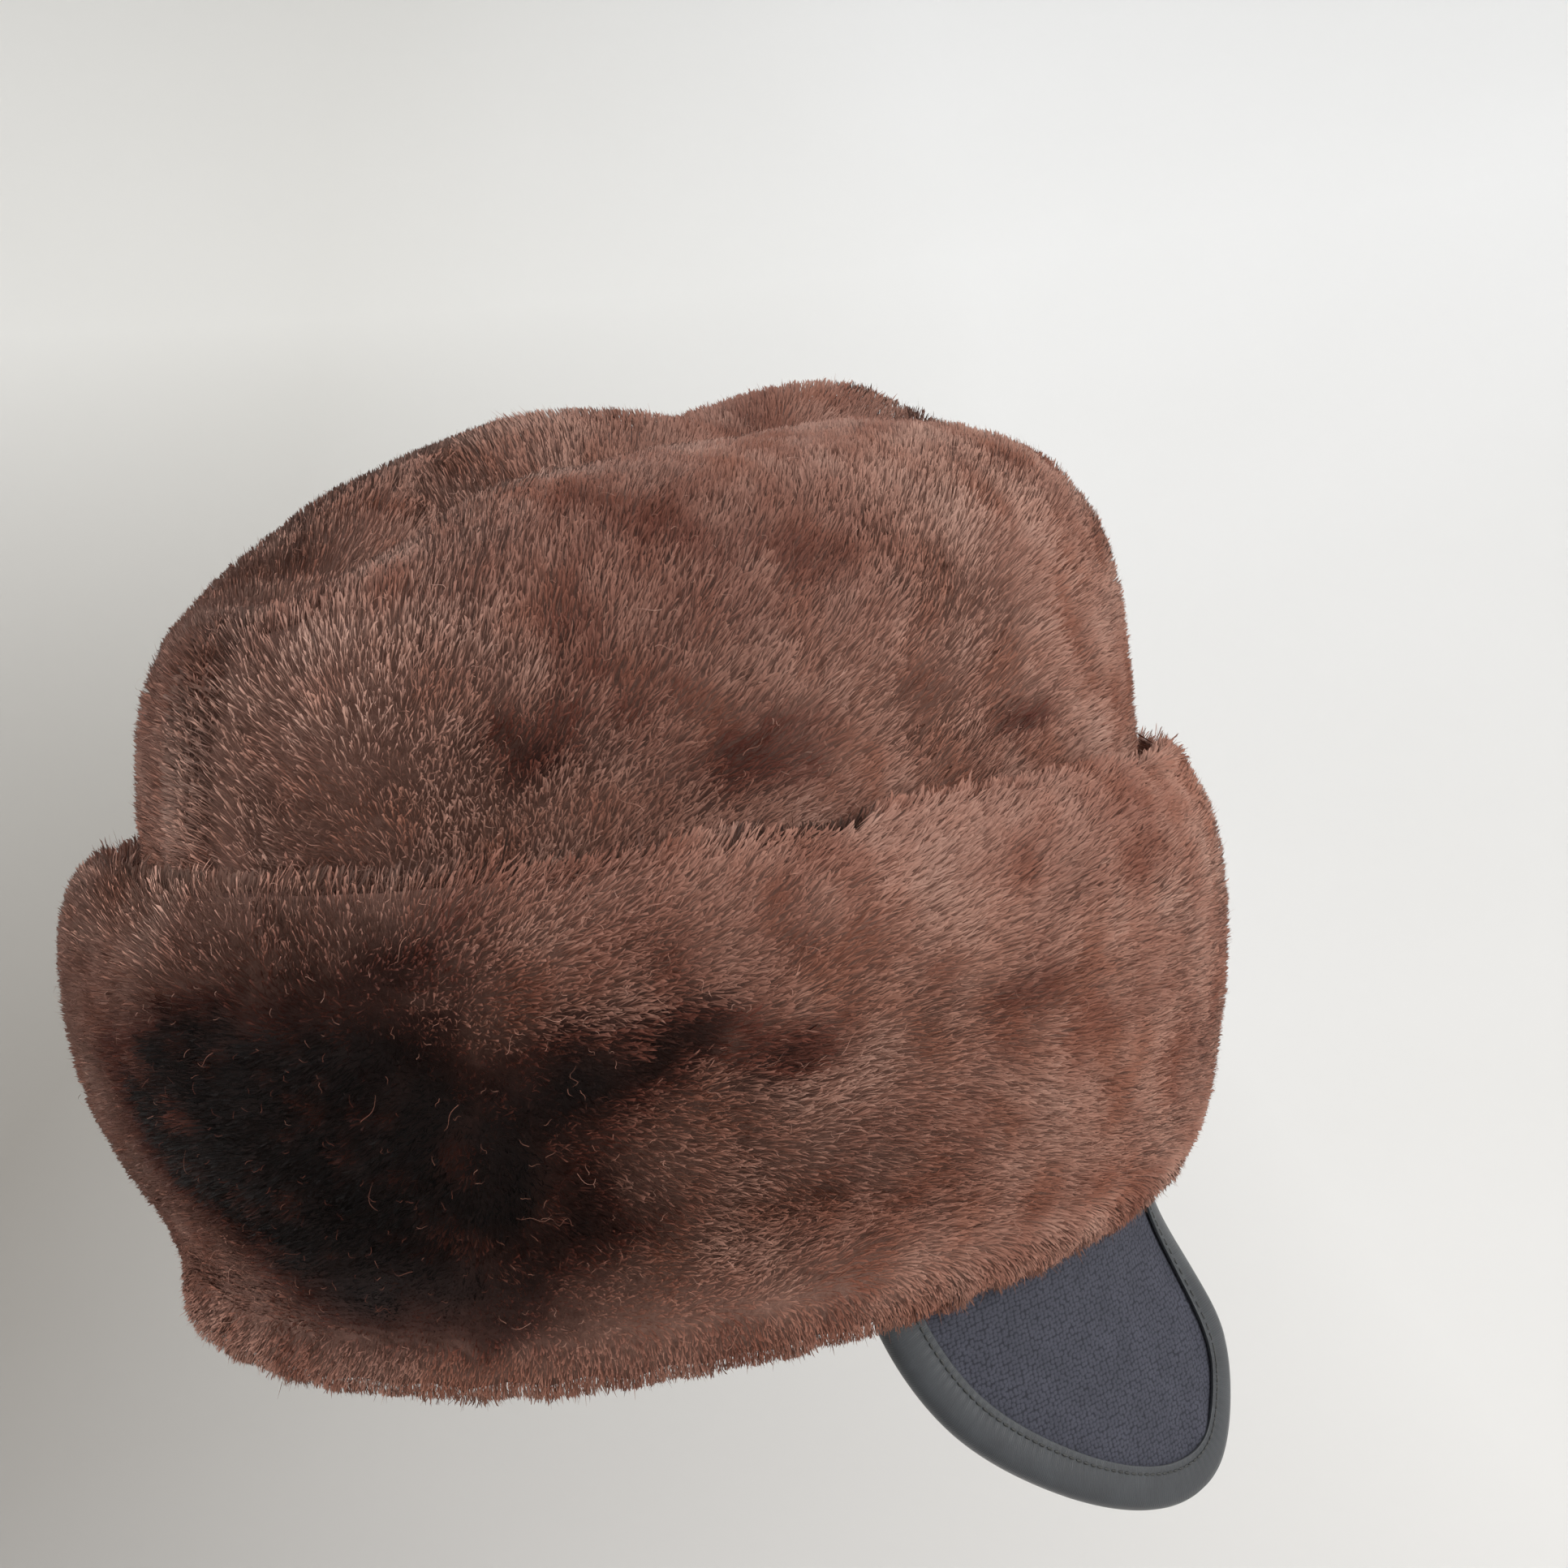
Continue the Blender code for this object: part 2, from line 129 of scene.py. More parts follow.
# Locks that draw their tips together: pitch, pull, shear of the tips up or down, seed
LOCKS = ((4.0 * MM, 0.13, 0.32 * MM, 21), (1.6 * MM, 0.18, 0.18 * MM, 31))
# Heights above the hem over which the pile turns to hang down, and its fringe ends
HEM_COMB_START = 4 * MM
HEM_COMB_END = 15 * MM
FRINGE_START = 4 * MM
FRINGE_END = 9 * MM

# Places where the pile opens and shows its dark depth, painted as shade in its colour: x, y, z, reach
# along, reach up, strength.
# A negative strength is painted light, a pale stretch. Millimetres.
OPEN_PILE_SHADE = [
    # painted shade: the dark patch at the cuff's front left, and its tongue
    (43, -121, 49, 34, 23, 1.15), (13, -130, 54, 25, 17, 1.0), (72, -99, 36, 17, 16, 0.65),
    (20, -124, 40, 26, 16, 0.65), (42, -114, 20, 32, 12, 0.6), (82, -90, 57, 13, 9, 0.62),
    (94, -76, 60, 11, 7, 0.85), (101, -60, 56, 10, 6, 0.7), (90, -80, 73, 7, 8, 0.15),
    (36, -121, 80, 26, 8, 0.1), (78, -87, 29, 12, 8, 0.4), (62, -101, 14, 22, 8, 0.15),
    (64, -108, 80, 13, 9, 0.3),
    # smaller patches of painted shade along the cuff's left side
    (104, -48, 34, 7, 12, 0.22), (110, -10, 57, 12, 4, 0.3), (107, -43, 38, 9, 5, 0.2),
    # painted shade in the folds and deeper places of the crown
    (70, -78, 113, 16, 8, 0.5), (60, -89, 108, 14, 8, 0.45), (86, -48, 105, 17, 8, 0.36),
    (93, 15, 103, 9, 4, 0.6), (79, -62, 121, 7, 7, 0.3), (66, -38, 148, 36, 22, 0.1),
    (80, -50, 136, 30, 14, 0.14), (40, -88, 140, 30, 12, 0.15), (63, -82, 125, 17, 9, 0.3),
    (52, -93, 116, 14, 9, 0.25), (-20, 60, 185, 60, 30, 0.17),
    # painted light: small pale spots and pale stretches
    (59, -83, 130, 7, 5, -0.5), (64, -83, 121, 5, 4, -0.6), (78, -99, 77, 4, 3, -0.6),
    (92, -23, 99, 9, 6, -0.4), (24, -107, 110, 37, 19, -1.15), (0, -128, 88, 34, 11, -0.95),
    (94, -8, 12, 44, 15, -0.2), (10, -100, 138, 30, 18, -0.15),
    # painted shade on the right side and the back
    (-98, -60, 60, 22, 13, 0.45), (-104, 30, 40, 20, 9, 0.35), (-70, 90, 62, 18, 11, 0.4),
    (60, 112, 55, 20, 10, 0.3), (-80, -60, 112, 14, 8, 0.4), (-86, 35, 112, 12, 9, 0.3),
    (10, 118, 118, 14, 9, 0.3),
]
OPEN_SHADE_LIMIT = 1.05

# Thirds of the way round in which the cuff's pile grows: name, from and to in degrees from +X
CUFF_THIRDS = (("left", -110, 10), ("rear", 10, 130), ("right", 130, 250))


def new_piece(name, mesh, material):
    """A smooth object at the origin that rides on the hat."""
    mesh.materials.append(material)
    mesh.polygons.foreach_set("use_smooth", [True] * len(mesh.polygons))
    piece = bpy.data.objects.new(name, mesh)
    bpy.context.scene.collection.objects.link(piece)
    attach(piece, "root")
    return piece


# Fields over the pile

def lattice_value(cells, seed):
    """A fixed number from 0 to 1 for each cell of a lattice."""
    mixed = cells[..., 0] * 374761393 + cells[..., 1] * 668265263
    mixed = (mixed + cells[..., 2] * 2147483647 + seed * 144665) & 0xFFFFFFFF
    mixed = ((mixed ^ (mixed >> 13)) * 1274126177) & 0xFFFFFFFF
    return (mixed ^ (mixed >> 16)) / 4294967295.0


def mottle(points, pitch, seed):
    """Soft variation from -1 to 1 that changes over about one pitch."""
    scaled = points / pitch
    cell = np.floor(scaled).astype(np.int64)
    share = scaled - cell
    share = share * share * (3 - 2 * share)
    total = np.zeros(len(points))
    for corner in product((0, 1), repeat=3):
        corner = np.array(corner)
        weight = np.prod(np.where(corner, share, 1 - share), axis=1)
        total += weight * lattice_value(cell + corner, seed)
    return 2 * total - 1


def lock_centres(points, pitch, seed):
    """For each point, the nearest lock's centre and that lock's own number."""
    cell = np.floor(points / pitch).astype(np.int64)
    nearest = np.full(len(points), np.inf)
    centres = np.zeros_like(points)
    own = np.zeros(len(points))
    for step in product((-1, 0, 1), repeat=3):
        there = cell + np.array(step)
        spot = np.stack([lattice_value(there, seed + k) for k in (1, 2, 3)], axis=1)
        spot = (there + spot) * pitch
        distance = ((spot - points) ** 2).sum(axis=1)
        closer = distance < nearest
        nearest[closer] = distance[closer]
        centres[closer] = spot[closer]
        own[closer] = lattice_value(there, seed + 4)[closer]
    return centres, own


def unit(vectors):
    length = np.linalg.norm(vectors, axis=1, keepdims=True)
    return vectors / np.maximum(length, 1e-9)


def ramp(low, high, values):
    share = np.clip((values - low) / (high - low), 0, 1)
    return share * share * (3 - 2 * share)


def plan_radial(points):
    """Outward direction of the oval plan at each point."""
    x, y = points[:, 0], points[:, 1]
    out = np.zeros_like(points)
    out[:, 0] = np.sign(x) * np.abs(x / HALF_WIDTH) ** (PLAN_POWER - 1) / HALF_WIDTH
    out[:, 1] = np.sign(y) * np.abs(y / HALF_LENGTH) ** (PLAN_POWER - 1) / HALF_LENGTH
    return unit(out + 1e-6)


def plan_inset(point):
    """How far a point lies inside the widest oval of the plan."""
    low, high = -10 * MM, 60 * MM
    for _ in range(24):
        middle = 0.5 * (low + high)
        level = (abs(point.x) / (HALF_WIDTH - middle)) ** PLAN_POWER
        level += (abs(point.y) / (HALF_LENGTH - middle)) ** PLAN_POWER
        low, high = (middle, high) if level < 1 else (low, middle)
    return 0.5 * (low + high)


def hem_height(x, y):
    """How high the hem lies at a place of the plan."""
    turn = (np.arctan2(x, -y) - HEM_RISE_ANGLE + pi) % tau - pi
    return HEM_RISE * np.exp(-(turn / HEM_RISE_REACH) ** 2)


def above_hem(points):
    return points[:, 2] - hem_height(points[:, 0], points[:, 1])


def surface_axes(points, normals):
    """Up the surface, and round the hat to the right as seen from outside, at each point."""
    around = unit(np.cross(UP, plan_radial(points)))
    side = unit(around - normals * (around * normals).sum(axis=1, keepdims=True))
    return np.cross(normals, side), side


def opening_and_shade(points):
    """How far the pile opens at each point, with painted shade of its depth; 0 is closed, below 0
    painted light.
    """
    total = np.zeros(len(points))
    for x, y, z, along, high, strength in OPEN_PILE_SHADE:
        gap = points - np.array([x, y, z]) * MM
        reach = (gap[:, 0] ** 2 + gap[:, 1] ** 2) / (along * MM) ** 2
        reach = reach + gap[:, 2] ** 2 / (high * MM) ** 2
        total += strength * np.exp(-reach ** 1.5)
    total = np.minimum(total, OPEN_SHADE_LIMIT)
    ragged = 1 + 0.25 * mottle(points, 19 * MM, 70) + 0.4 * mottle(points, 9 * MM, 71)
    ragged += 0.55 * mottle(points, 3.8 * MM, 72)
    return total * ragged


# Skins

def outer_share(point, normal, part):
    """How far a place of a solid is pile side: 1 outside, 0 on hidden and head sides."""
    if part == "cuff":
        level = hypot(point.x / HALF_WIDTH, point.y / HALF_LENGTH)
        outward = normal.x * point.x + normal.y * point.y
        if point.z > CUFF_RIM_START:
            return 1.0 if level > 0.885 else 0.35
        if point.z - hem_height(point.x, point.y) < CUFF_HEM_TOP:
            return 1.0
        return 1.0 if outward > 0 and level > 0.8 else 0.0
    if abs(point.x) < CREASE_HALF_WIDTH:
        return 1.0 if point.z > CREASE_TOP or abs(normal.y) > 0.5 else 0.0
    outward = normal.dot(point - Vector((0, 0, 60 * MM))) > 0
    return min(max((point.z - CROWN_HIDDEN_TOP) / CROWN_HIDDEN_FADE, 0.0), 1.0) if outward else 0.0


def pile_push(vert, share, part):
    """How a vertex of the solid moves to lie under the pile."""
    if part == "cuff":
        if vert.co.z - hem_height(vert.co.x, vert.co.y) < FOOT_HEIGHT:
            return Vector((0, 0, CUFF_FOOT_LIFT))
    elif vert.co.z < FOOT_HEIGHT:
        return Vector((0, 0, CROWN_FOOT_LIFT))
    elif abs(vert.co.x) < CREASE_HALF_WIDTH:
        return Vector((0, 0, -PILE_DEPTH)) * share
    push = -PILE_DEPTH * share * vert.normal
    if part == "cuff" and share == 1 and vert.co.z < CUFF_WALL_TOP:
        # the cuff's skin stays outside the crown's wall
        too_deep = plan_inset(vert.co + push) - CROWN_WALL_INSET
        if too_deep > 0:
            inward = max(-push.xy.dot(vert.co.xy.normalized()), 1e-6)
            kept = max(0.1, 1 - too_deep / inward)
            push = Vector((push.x * kept, push.y * kept, push.z))
    return push


def make_skin(name, part, fur_skin, head_side):
    """The skin under the pile: the solid's form with its pile side drawn in."""
    shape = bmesh.new()
    shape.from_mesh(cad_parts[part].data)
    bmesh.ops.remove_doubles(shape, verts=shape.verts, dist=0.02 * MM)
    shape.normal_update()
    share = {v: outer_share(v.co, v.normal, part) for v in shape.verts}
    for face in shape.faces:
        face.material_index = 0 if any(share[v] > 0.2 for v in face.verts) else 1
    pushes = {v: pile_push(v, share[v], part) for v in shape.verts}
    depths = [max(push.length, SHORTEST_PILE) for push in pushes.values()]
    for vert, push in pushes.items():
        vert.co += push
    shape.verts.index_update()
    shape.normal_update()
    mesh = bpy.data.meshes.new(name)
    shape.to_mesh(mesh)
    deep = mesh.attributes.new("pile_depth", "FLOAT", "POINT")
    deep.data.foreach_set("value", depths)
    # the pile colour's third channel carries the painted shade of the open places
    opened_shade = opening_and_shade(np.array([v.co[:] for v in shape.verts]))
    colour = np.tile([0.0, 0.5, 0.0, 1.0], (len(opened_shade), 1))
    colour[:, 2] = opened_shade.clip(0, 1)
    field = mesh.attributes.new("pile", "FLOAT_COLOR", "POINT")
    field.data.foreach_set("color", colour.astype(np.float32).ravel())
    shape.free()
    piece = new_piece(name, mesh, fur_skin)
    mesh.materials.append(head_side)
    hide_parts(part)
    return piece


# Pile

def read_field(items, field, width=1, kind=np.float64):
    """A field of a mesh's items as an array, with a row for each item."""
    values = np.empty(width * len(items), kind)
    items.foreach_get(field, values)
    return values.reshape(-1, width) if width > 1 else values


def pile_roots(skin, wanted, density, seed):
    """Places spread evenly over the skin's pile side, their smooth normals and pile depth."""
    mesh = skin.data
    mesh.calc_loop_triangles()
    places = read_field(mesh.vertices, "co", 3)
    normals = read_field(mesh.vertices, "normal", 3)
    corners = read_field(mesh.loop_triangles, "vertices", 3, np.int32)
    slots = read_field(mesh.loop_triangles, "material_index", 1, np.int32)
    a, b, c = (places[corners[:, k]] for k in range(3))
    cross = np.cross(b - a, c - a)
    weight = 0.5 * np.linalg.norm(cross, axis=1) * (slots == 0)
    weight = weight * density((a + b + c) / 3, unit(cross))
    reach = np.cumsum(weight)
    chance = np.random.default_rng(seed)
    order = (np.arange(wanted) + chance.random(wanted)) / wanted * reach[-1]
    chosen = np.searchsorted(reach, order).clip(0, len(reach) - 1)
    u = (np.arange(wanted) * 0.7548776662 + 0.08 * chance.random(wanted)) % 1
    v = (np.arange(wanted) * 0.5698402910 + 0.08 * chance.random(wanted)) % 1
    over = u + v > 1
    u[over], v[over] = 1 - u[over], 1 - v[over]
    u, v = u[:, None], v[:, None]
    roots = a[chosen] * (1 - u - v) + b[chosen] * u + c[chosen] * v
    n = [normals[corners[chosen, k]] for k in range(3)]
    facing = unit(n[0] * (1 - u - v) + n[1] * u + n[2] * v)
    deep = read_field(mesh.attributes["pile_depth"].data, "value")
    d = [deep[corners[chosen, k]][:, None] for k in range(3)]
    height = (d[0] * (1 - u - v) + d[1] * u + d[2] * v)[:, 0]
    return roots, facing, height


def fibre_mesh(name, kinds):
    """One mesh of many fibres. Each kind is (corners, faces, along, tone, opened, normals)."""
    places, corners, pile, facing, spots = [], [], [], [], []
    total = sum(len(kind[0]) for kind in kinds)
    cells = int(np.ceil(np.sqrt(total)))
    grown = verts_before = 0
    for fibre, faces, along, tone, opened_shade, normals in kinds:
        count, each = fibre.shape[:2]
        places.append(fibre.reshape(-1, 3))
        step = verts_before + each * np.arange(count)
        corners.append((np.array(faces)[None] + step[:, None, None]).reshape(-1, 3))
        along = np.tile(along, (count, 1))
        tones = np.repeat(tone[:, None], each, 1)
        # the third channel carries the painted shade and painted light of the open places
        open_shades = np.repeat(opened_shade[:, None], each, 1)
        pile.append(np.stack([along, tones, open_shades, np.ones((count, each))], axis=2).reshape(-1, 4))
        facing.append(np.repeat(normals, each, axis=0))
        # Each fibre has a small cell of its own on the map, root low and tip high.
        number = grown + np.arange(count)
        cell = np.stack([number % cells, number // cells], axis=1)
        side = np.where(np.arange(each) % 2, 0.9, 0.1)
        spot = np.stack([np.tile(side, (count, 1)), 0.08 + 0.84 * along], axis=2)
        spots.append(((cell[:, None] + spot) / cells).reshape(-1, 2))
        grown += count
        verts_before += count * each
    places, corners, pile, spots = (np.concatenate(a) for a in (places, corners, pile, spots))
    mesh = bpy.data.meshes.new(name)
    mesh.vertices.add(len(places))
    mesh.vertices.foreach_set("co", places.astype(np.float32).ravel())
    mesh.loops.add(corners.size)
    mesh.loops.foreach_set("vertex_index", corners.astype(np.int32).ravel())
    mesh.polygons.add(len(corners))
    mesh.polygons.foreach_set("loop_start", np.arange(0, corners.size, 3, dtype=np.int32))
    mesh.update()
    field = mesh.attributes.new("pile", "FLOAT_COLOR", "POINT")
    field.data.foreach_set("color", pile.astype(np.float32).ravel())
    layer = mesh.uv_layers.new(name="OFBake")
    layer.uv.foreach_set("vector", spots[corners.ravel()].astype(np.float32).ravel())
    return mesh, np.concatenate(facing)


def comb_directions(roots, normals, part, chance):
    """Where each fibre leans along the surface, and how far, in radians."""
    up, around = surface_axes(roots, normals)
    up = up * np.tanh(up[:, 2:] / 0.2)  # towards the crest from both of its sides
    count = len(roots)
    turn = COMB_SWIRL * mottle(roots, 46 * MM, 11) + COMB_WAVE * mottle(roots, 14 * MM, 12)
    turn = radians(1) * (turn + COMB_TURN[part] + COMB_SPREAD * chance.standard_normal(count))
    combed = unit(up * np.cos(turn)[:, None] + around * np.sin(turn)[:, None])
    lean = LEAN + LEAN_WAVE * (mottle(roots, 17 * MM, 13) + mottle(roots, 6 * MM, 14))
    lean = lean - 8 * np.clip(opening_and_shade(roots), 0, 1) + LEAN_SPREAD * chance.standard_normal(count)
    if part == "cuff":  # at the hem the pile hangs
        hem = 1 - ramp(HEM_COMB_START, HEM_COMB_END, above_hem(roots))
        hanging = up + 0.3 * chance.standard_normal(up.shape)
        combed = unit(combed * (1 - hem)[:, None] - hanging * hem[:, None])
        combed = unit(combed - normals * (combed * normals).sum(axis=1, keepdims=True))
        lean = lean - 4 * hem
    return combed, radians(1) * np.clip(lean, *LEAN_RANGE)


def lock_shift(roots, normals):
    """How each tip is drawn towards its lock, with the lock sheared a little high or low."""
    shift = np.zeros_like(roots)
    for pitch, pull, lift, seed in LOCKS:
        warp = np.stack([mottle(roots, pitch, seed + 6 + k) for k in range(3)], axis=1)
        warped = roots + 0.4 * pitch * warp
        centres, own = lock_centres(warped, pitch, seed)
        gather = centres - warped
        gather -= normals * (gather * normals).sum(axis=1, keepdims=True)
        shift += pull * gather + normals * ((2 * own - 1) * lift)[:, None]
    return shift


def blade_sides(along, normals, twist, chance):
    """Across each blade, so that its broad face looks outwards."""
    sides = unit(np.cross(along, normals)) + twist * chance.standard_normal(along.shape)
    sides = unit(sides - along * (sides * along).sum(axis=1, keepdims=True))
    sides[(np.cross(sides, along) * normals).sum(axis=1) < 0] *= -1
    return sides


def pile_tone(roots, chance):
    """Paler and deeper patches, a painted highlight along the crests and painted light at the pale
    stretches, with a little of its own for every lock and fibre.
    """
    shade = 0.5 + 0.3 * mottle(roots, 27 * MM, 41) + 0.36 * mottle(roots, 8 * MM, 42)
    # painted highlight along the crests, where the tips catch the light
    crest = np.exp(-((np.abs(roots[:, 0]) - 25 * MM) / (6 * MM)) ** 2)
    shade += 0.22 * crest * ramp(140 * MM, 155 * MM, roots[:, 2])
    shade += 0.12 * (lock_centres(roots, 2.6 * MM, 51)[1] - 0.5)
    # painted light at the pale stretches
    shade -= 0.45 * np.minimum(opening_and_shade(roots), 0)
    return shade + 0.065 * chance.standard_normal(len(roots))


def hem_share(roots, part):
    """How much of a fibre's root lies in the fringe at the hem."""
    return (part == "cuff") * (1 - ramp(FRINGE_START, FRINGE_END, above_hem(roots)))


def denser_at_hem(density, part, more):
    """The same density with more fibres in the fringe at the hem."""
    def with_fringe(points, facing):
        return density(points, facing) * (1 + more * hem_share(points, part))
    return with_fringe


def hem_fringe(roots, part):
    """Extra length in small locks, so that the hem ends in a ragged fringe."""
    return hem_share(roots, part) * MM * (0.35 + 0.9 * mottle(roots, 3.2 * MM, 61))


def lit_normals(roots, normals, part):
    """Normals for shading: the fringe at the hem catches light like the wall above it."""
    return unit(normals + 1.3 * hem_share(roots, part)[:, None] * plan_radial(roots))


def sheared_fibres(skin, part, count, density, seed):
    """Blades that widen to a slanted cut end, with a front face and a back face."""
    roots, normals, height = pile_roots(skin, count, denser_at_hem(density, part, 1), seed)
    chance = np.random.default_rng(seed + 1)
    combed, lean = comb_directions(roots, normals, part, chance)
    opened_shade = opening_and_shade(roots)
    tall = height * (1 + 0.035 * chance.standard_normal(count)) - 0.7 * MM * np.clip(opened_shade, 0, 1)
    tall += hem_fringe(roots, part)
    shift = lock_shift(roots, normals) * (height / PILE_DEPTH)[:, None]
    tip = roots + tall[:, None] * (normals + combed * np.tan(lean)[:, None]) + shift
    along = tip - roots
    sides = blade_sides(unit(along), normals, 0.5, chance)
    wide = SHEARED_HALF_WIDTH * (1 + 0.3 * chance.standard_normal(count))
    wide = wide.clip(0.07 * MM, 0.3 * MM)
    wide *= 1 - 0.35 * hem_share(roots, part)
    cut_back = (0.05 + 0.15 * chance.random(count))[:, None]
    left = tip - sides * wide[:, None] - along * cut_back
    right = tip + sides * wide[:, None]
    swap = chance.random(count) < 0.5
    left[swap] += (along * cut_back)[swap]
    right[swap] -= (along * cut_back)[swap]
    leaf = unit(np.cross(sides, along))
    soft = 0.82 * lit_normals(roots, normals, part) + 0.18 * leaf
    soft = unit(soft + 0.08 * chance.standard_normal((count, 3)))
    back = leaf * BLADE_THICKNESS
    fibre = np.stack([roots, right, left, left - back, right - back], axis=1)
    faces = [[0, 1, 2], [0, 3, 4]]
    shares = np.array([0.0, 1.0, 1.0, 1.0, 1.0])
    return fibre, faces, shares, pile_tone(roots, chance).clip(0, 1), opened_shade, soft


def fine_fibres(skin, part, count, density, seed):
    """Thinner, paler hairs that stand a little above the sheared pile."""
    roots, normals, height = pile_roots(skin, count, denser_at_hem(density, part, 2), seed)
    chance = np.random.default_rng(seed + 1)
    combed, lean = comb_directions(roots, normals, part, chance)
    tall = height + MM * (0.25 + 0.4 * np.abs(chance.standard_normal(count)))
    tall += hem_fringe(roots, part)
    lean = lean + radians(FINE_LEAN_SPREAD) * chance.standard_normal(count)
    lean = lean.clip(*(radians(limit) for limit in FINE_LEAN_RANGE))
    stem = tall[:, None] * (normals + combed * np.tan(lean)[:, None])
    tip = roots + stem + 0.8 * lock_shift(roots, normals)
    along = tip - roots
    sides = blade_sides(unit(along), normals, 0.5, chance)
    wide = FINE_HALF_WIDTH * (1 + 0.25 * chance.standard_normal(count))
    wide = wide.clip(0.04 * MM, 0.13 * MM)[:, None]
    leaf = unit(np.cross(sides, along))
    base = roots + 0.55 * stem
    soft = 0.8 * lit_normals(roots, normals, part) + 0.2 * leaf
    soft = unit(soft + 0.1 * chance.standard_normal((count, 3)))
    back = leaf * 0.5 * BLADE_THICKNESS
    left, right = base - sides * wide, base + sides * wide
    fibre = np.stack([left, right, tip, right - back, left - back, tip - back], axis=1)
    tone = (pile_tone(roots, chance) + 0.22).clip(0, 1)
    shares = np.array([0.6, 0.6, 1.0, 0.6, 0.6, 1.0])
    return fibre, [[0, 1, 2], [3, 4, 5]], shares, tone, 0.8 * opening_and_shade(roots), soft


def curled_hairs(skin, count, density, seed, reach, steps):
    """Loose crimped hairs that lie over the pile."""
    roots, normals, height = pile_roots(skin, count, density, seed)
    chance = np.random.default_rng(seed + 1)
    roots = roots + normals * (0.84 * height)[:, None]
    heading = chance.standard_normal((count, 3))
    heading = unit(heading - normals * (heading * normals).sum(axis=1, keepdims=True))
    across = np.cross(normals, heading)
    length = reach * (0.6 + 0.8 * chance.random(count))[:, None]
    turns = (0.5 + 0.9 * chance.random(count))[:, None]
    start = tau * chance.random(count)[:, None]
    rise = reach * (0.2 + 0.4 * chance.random(count))[:, None]
    size = reach * (0.06 + 0.12 * chance.random(count))[:, None]
    rows = []
    for k in range(steps + 1):
        t = k / steps
        sway = np.sin(start + tau * turns * t) - np.sin(start)
        lift = np.sin(pi * min(1.0, 0.25 + 0.75 * t))
        spot = roots + heading * length * t + across * size * sway + normals * rise * lift
        wide = 0.055 * MM * (1 - 0.6 * t)
        rows += [spot + across * wide, spot - across * wide]
    faces = []
    for k in range(0, 2 * steps, 2):
        faces += [[k, k + 1, k + 2], [k + 2, k + 1, k + 3]]
    along = np.repeat(np.linspace(0.75, 1.0, steps + 1), 2)
    tone = np.clip(0.95 + 0.1 * chance.standard_normal(count), 0, 1)
    return np.stack(rows, axis=1), faces, along, tone, 0.35 * opening_and_shade(roots), normals


def grow_pile(name, skin, part, density, material, seed):
    """The whole pile of one piece."""
    sheared = sheared_fibres(skin, part, SHEARED_FIBRES, density, seed)
    fine = fine_fibres(skin, part, FINE_FIBRES, density, seed + 2)
    hooks = curled_hairs(skin, HOOKED_TIPS, density, seed + 4, 1.5 * MM, 4)
    strays = curled_hairs(skin, STRAY_HAIRS, density, seed + 6, 4.2 * MM, 7)
    mesh, facing = fibre_mesh(name, (sheared, fine, hooks, strays))
    piece = new_piece(name, mesh, material)
    mesh.normals_split_custom_set_from_vertices(facing.tolist())
    return piece


def crown_density(points, facing):
    """Pile grows on the crown from just inside the cuff's rim upwards."""
    return ramp(78 * MM, 86 * MM, points[:, 2])


def cuff_density(low, high):
    """Density of the cuff's pile between two angles; the side at the crown is sparser."""
    def density(points, facing):
        outward = (plan_radial(points) * facing).sum(axis=1)
        angle = np.degrees(np.arctan2(points[:, 1], points[:, 0])) % 360
        sparse = np.where((outward < -0.5) & (points[:, 2] > 40 * MM), 0.35, 1.0)
        return sparse * ((angle - low) % 360 < high - low)
    return density


# Materials

def begin_material(name):
    material = bpy.data.materials.new(name)
    material.use_nodes = True
    tree = material.node_tree
    shader = tree.nodes["Principled BSDF"]
    return material, tree, shader


def add(tree, kind, **settings):
    """A node with its settings; a name that is an input socket sets that socket."""
    node = tree.nodes.new("ShaderNode" + kind)
    for key, value in settings.items():
        if key in node.inputs:
            node.inputs[key].default_value = value
        else:
            setattr(node, key, value)
    return node


def colours(tree, fac, stops):
    """A colour ramp from a value; stops are (place, colour)."""
    node = tree.nodes.new("ShaderNodeValToRGB")
    ramp_of = node.color_ramp
    while len(ramp_of.elements) < len(stops):
        ramp_of.elements.new(0.5)
    for element, (place, colour) in zip(ramp_of.elements, stops):
        element.position = place
        element.color = (*colour, 1)
    tree.links.new(fac, node.inputs["Fac"])
    return node.outputs["Color"]


def mixed(tree, blend, factor, first, second):
    """Two colours mixed; each of the three is a socket or a plain value."""
    node = tree.nodes.new("ShaderNodeMix")
    node.data_type = "RGBA"
    node.blend_type = blend
    for socket, value in zip((node.inputs[0], node.inputs[6], node.inputs[7]), (factor, first, second)):
        if isinstance(value, bpy.types.NodeSocket):
            tree.links.new(value, socket)
        elif isinstance(value, tuple):
            socket.default_value = (*value, 1)
        else:
            socket.default_value = value
    return node.outputs[2]


def calculated(tree, operation, first, second=0.0, third=0.0):
    node = tree.nodes.new("ShaderNodeMath")
    node.operation = operation
    for socket, value in zip(node.inputs, (first, second, third)):
        if isinstance(value, bpy.types.NodeSocket):
            tree.links.new(value, socket)
        else:
            socket.default_value = value
    return node.outputs[0]


def noise(tree, coordinates, scale, detail=2.0):
    node = add(tree, "TexNoise", Scale=scale, Detail=detail)
    tree.links.new(coordinates, node.inputs["Vector"])
    return node.outputs["Fac"]


def bump(tree, shader, height, strength, distance):
    node = add(tree, "Bump", Strength=strength, Distance=distance)
    tree.links.new(height, node.inputs["Height"])
    tree.links.new(node.outputs["Normal"], shader.inputs["Normal"])


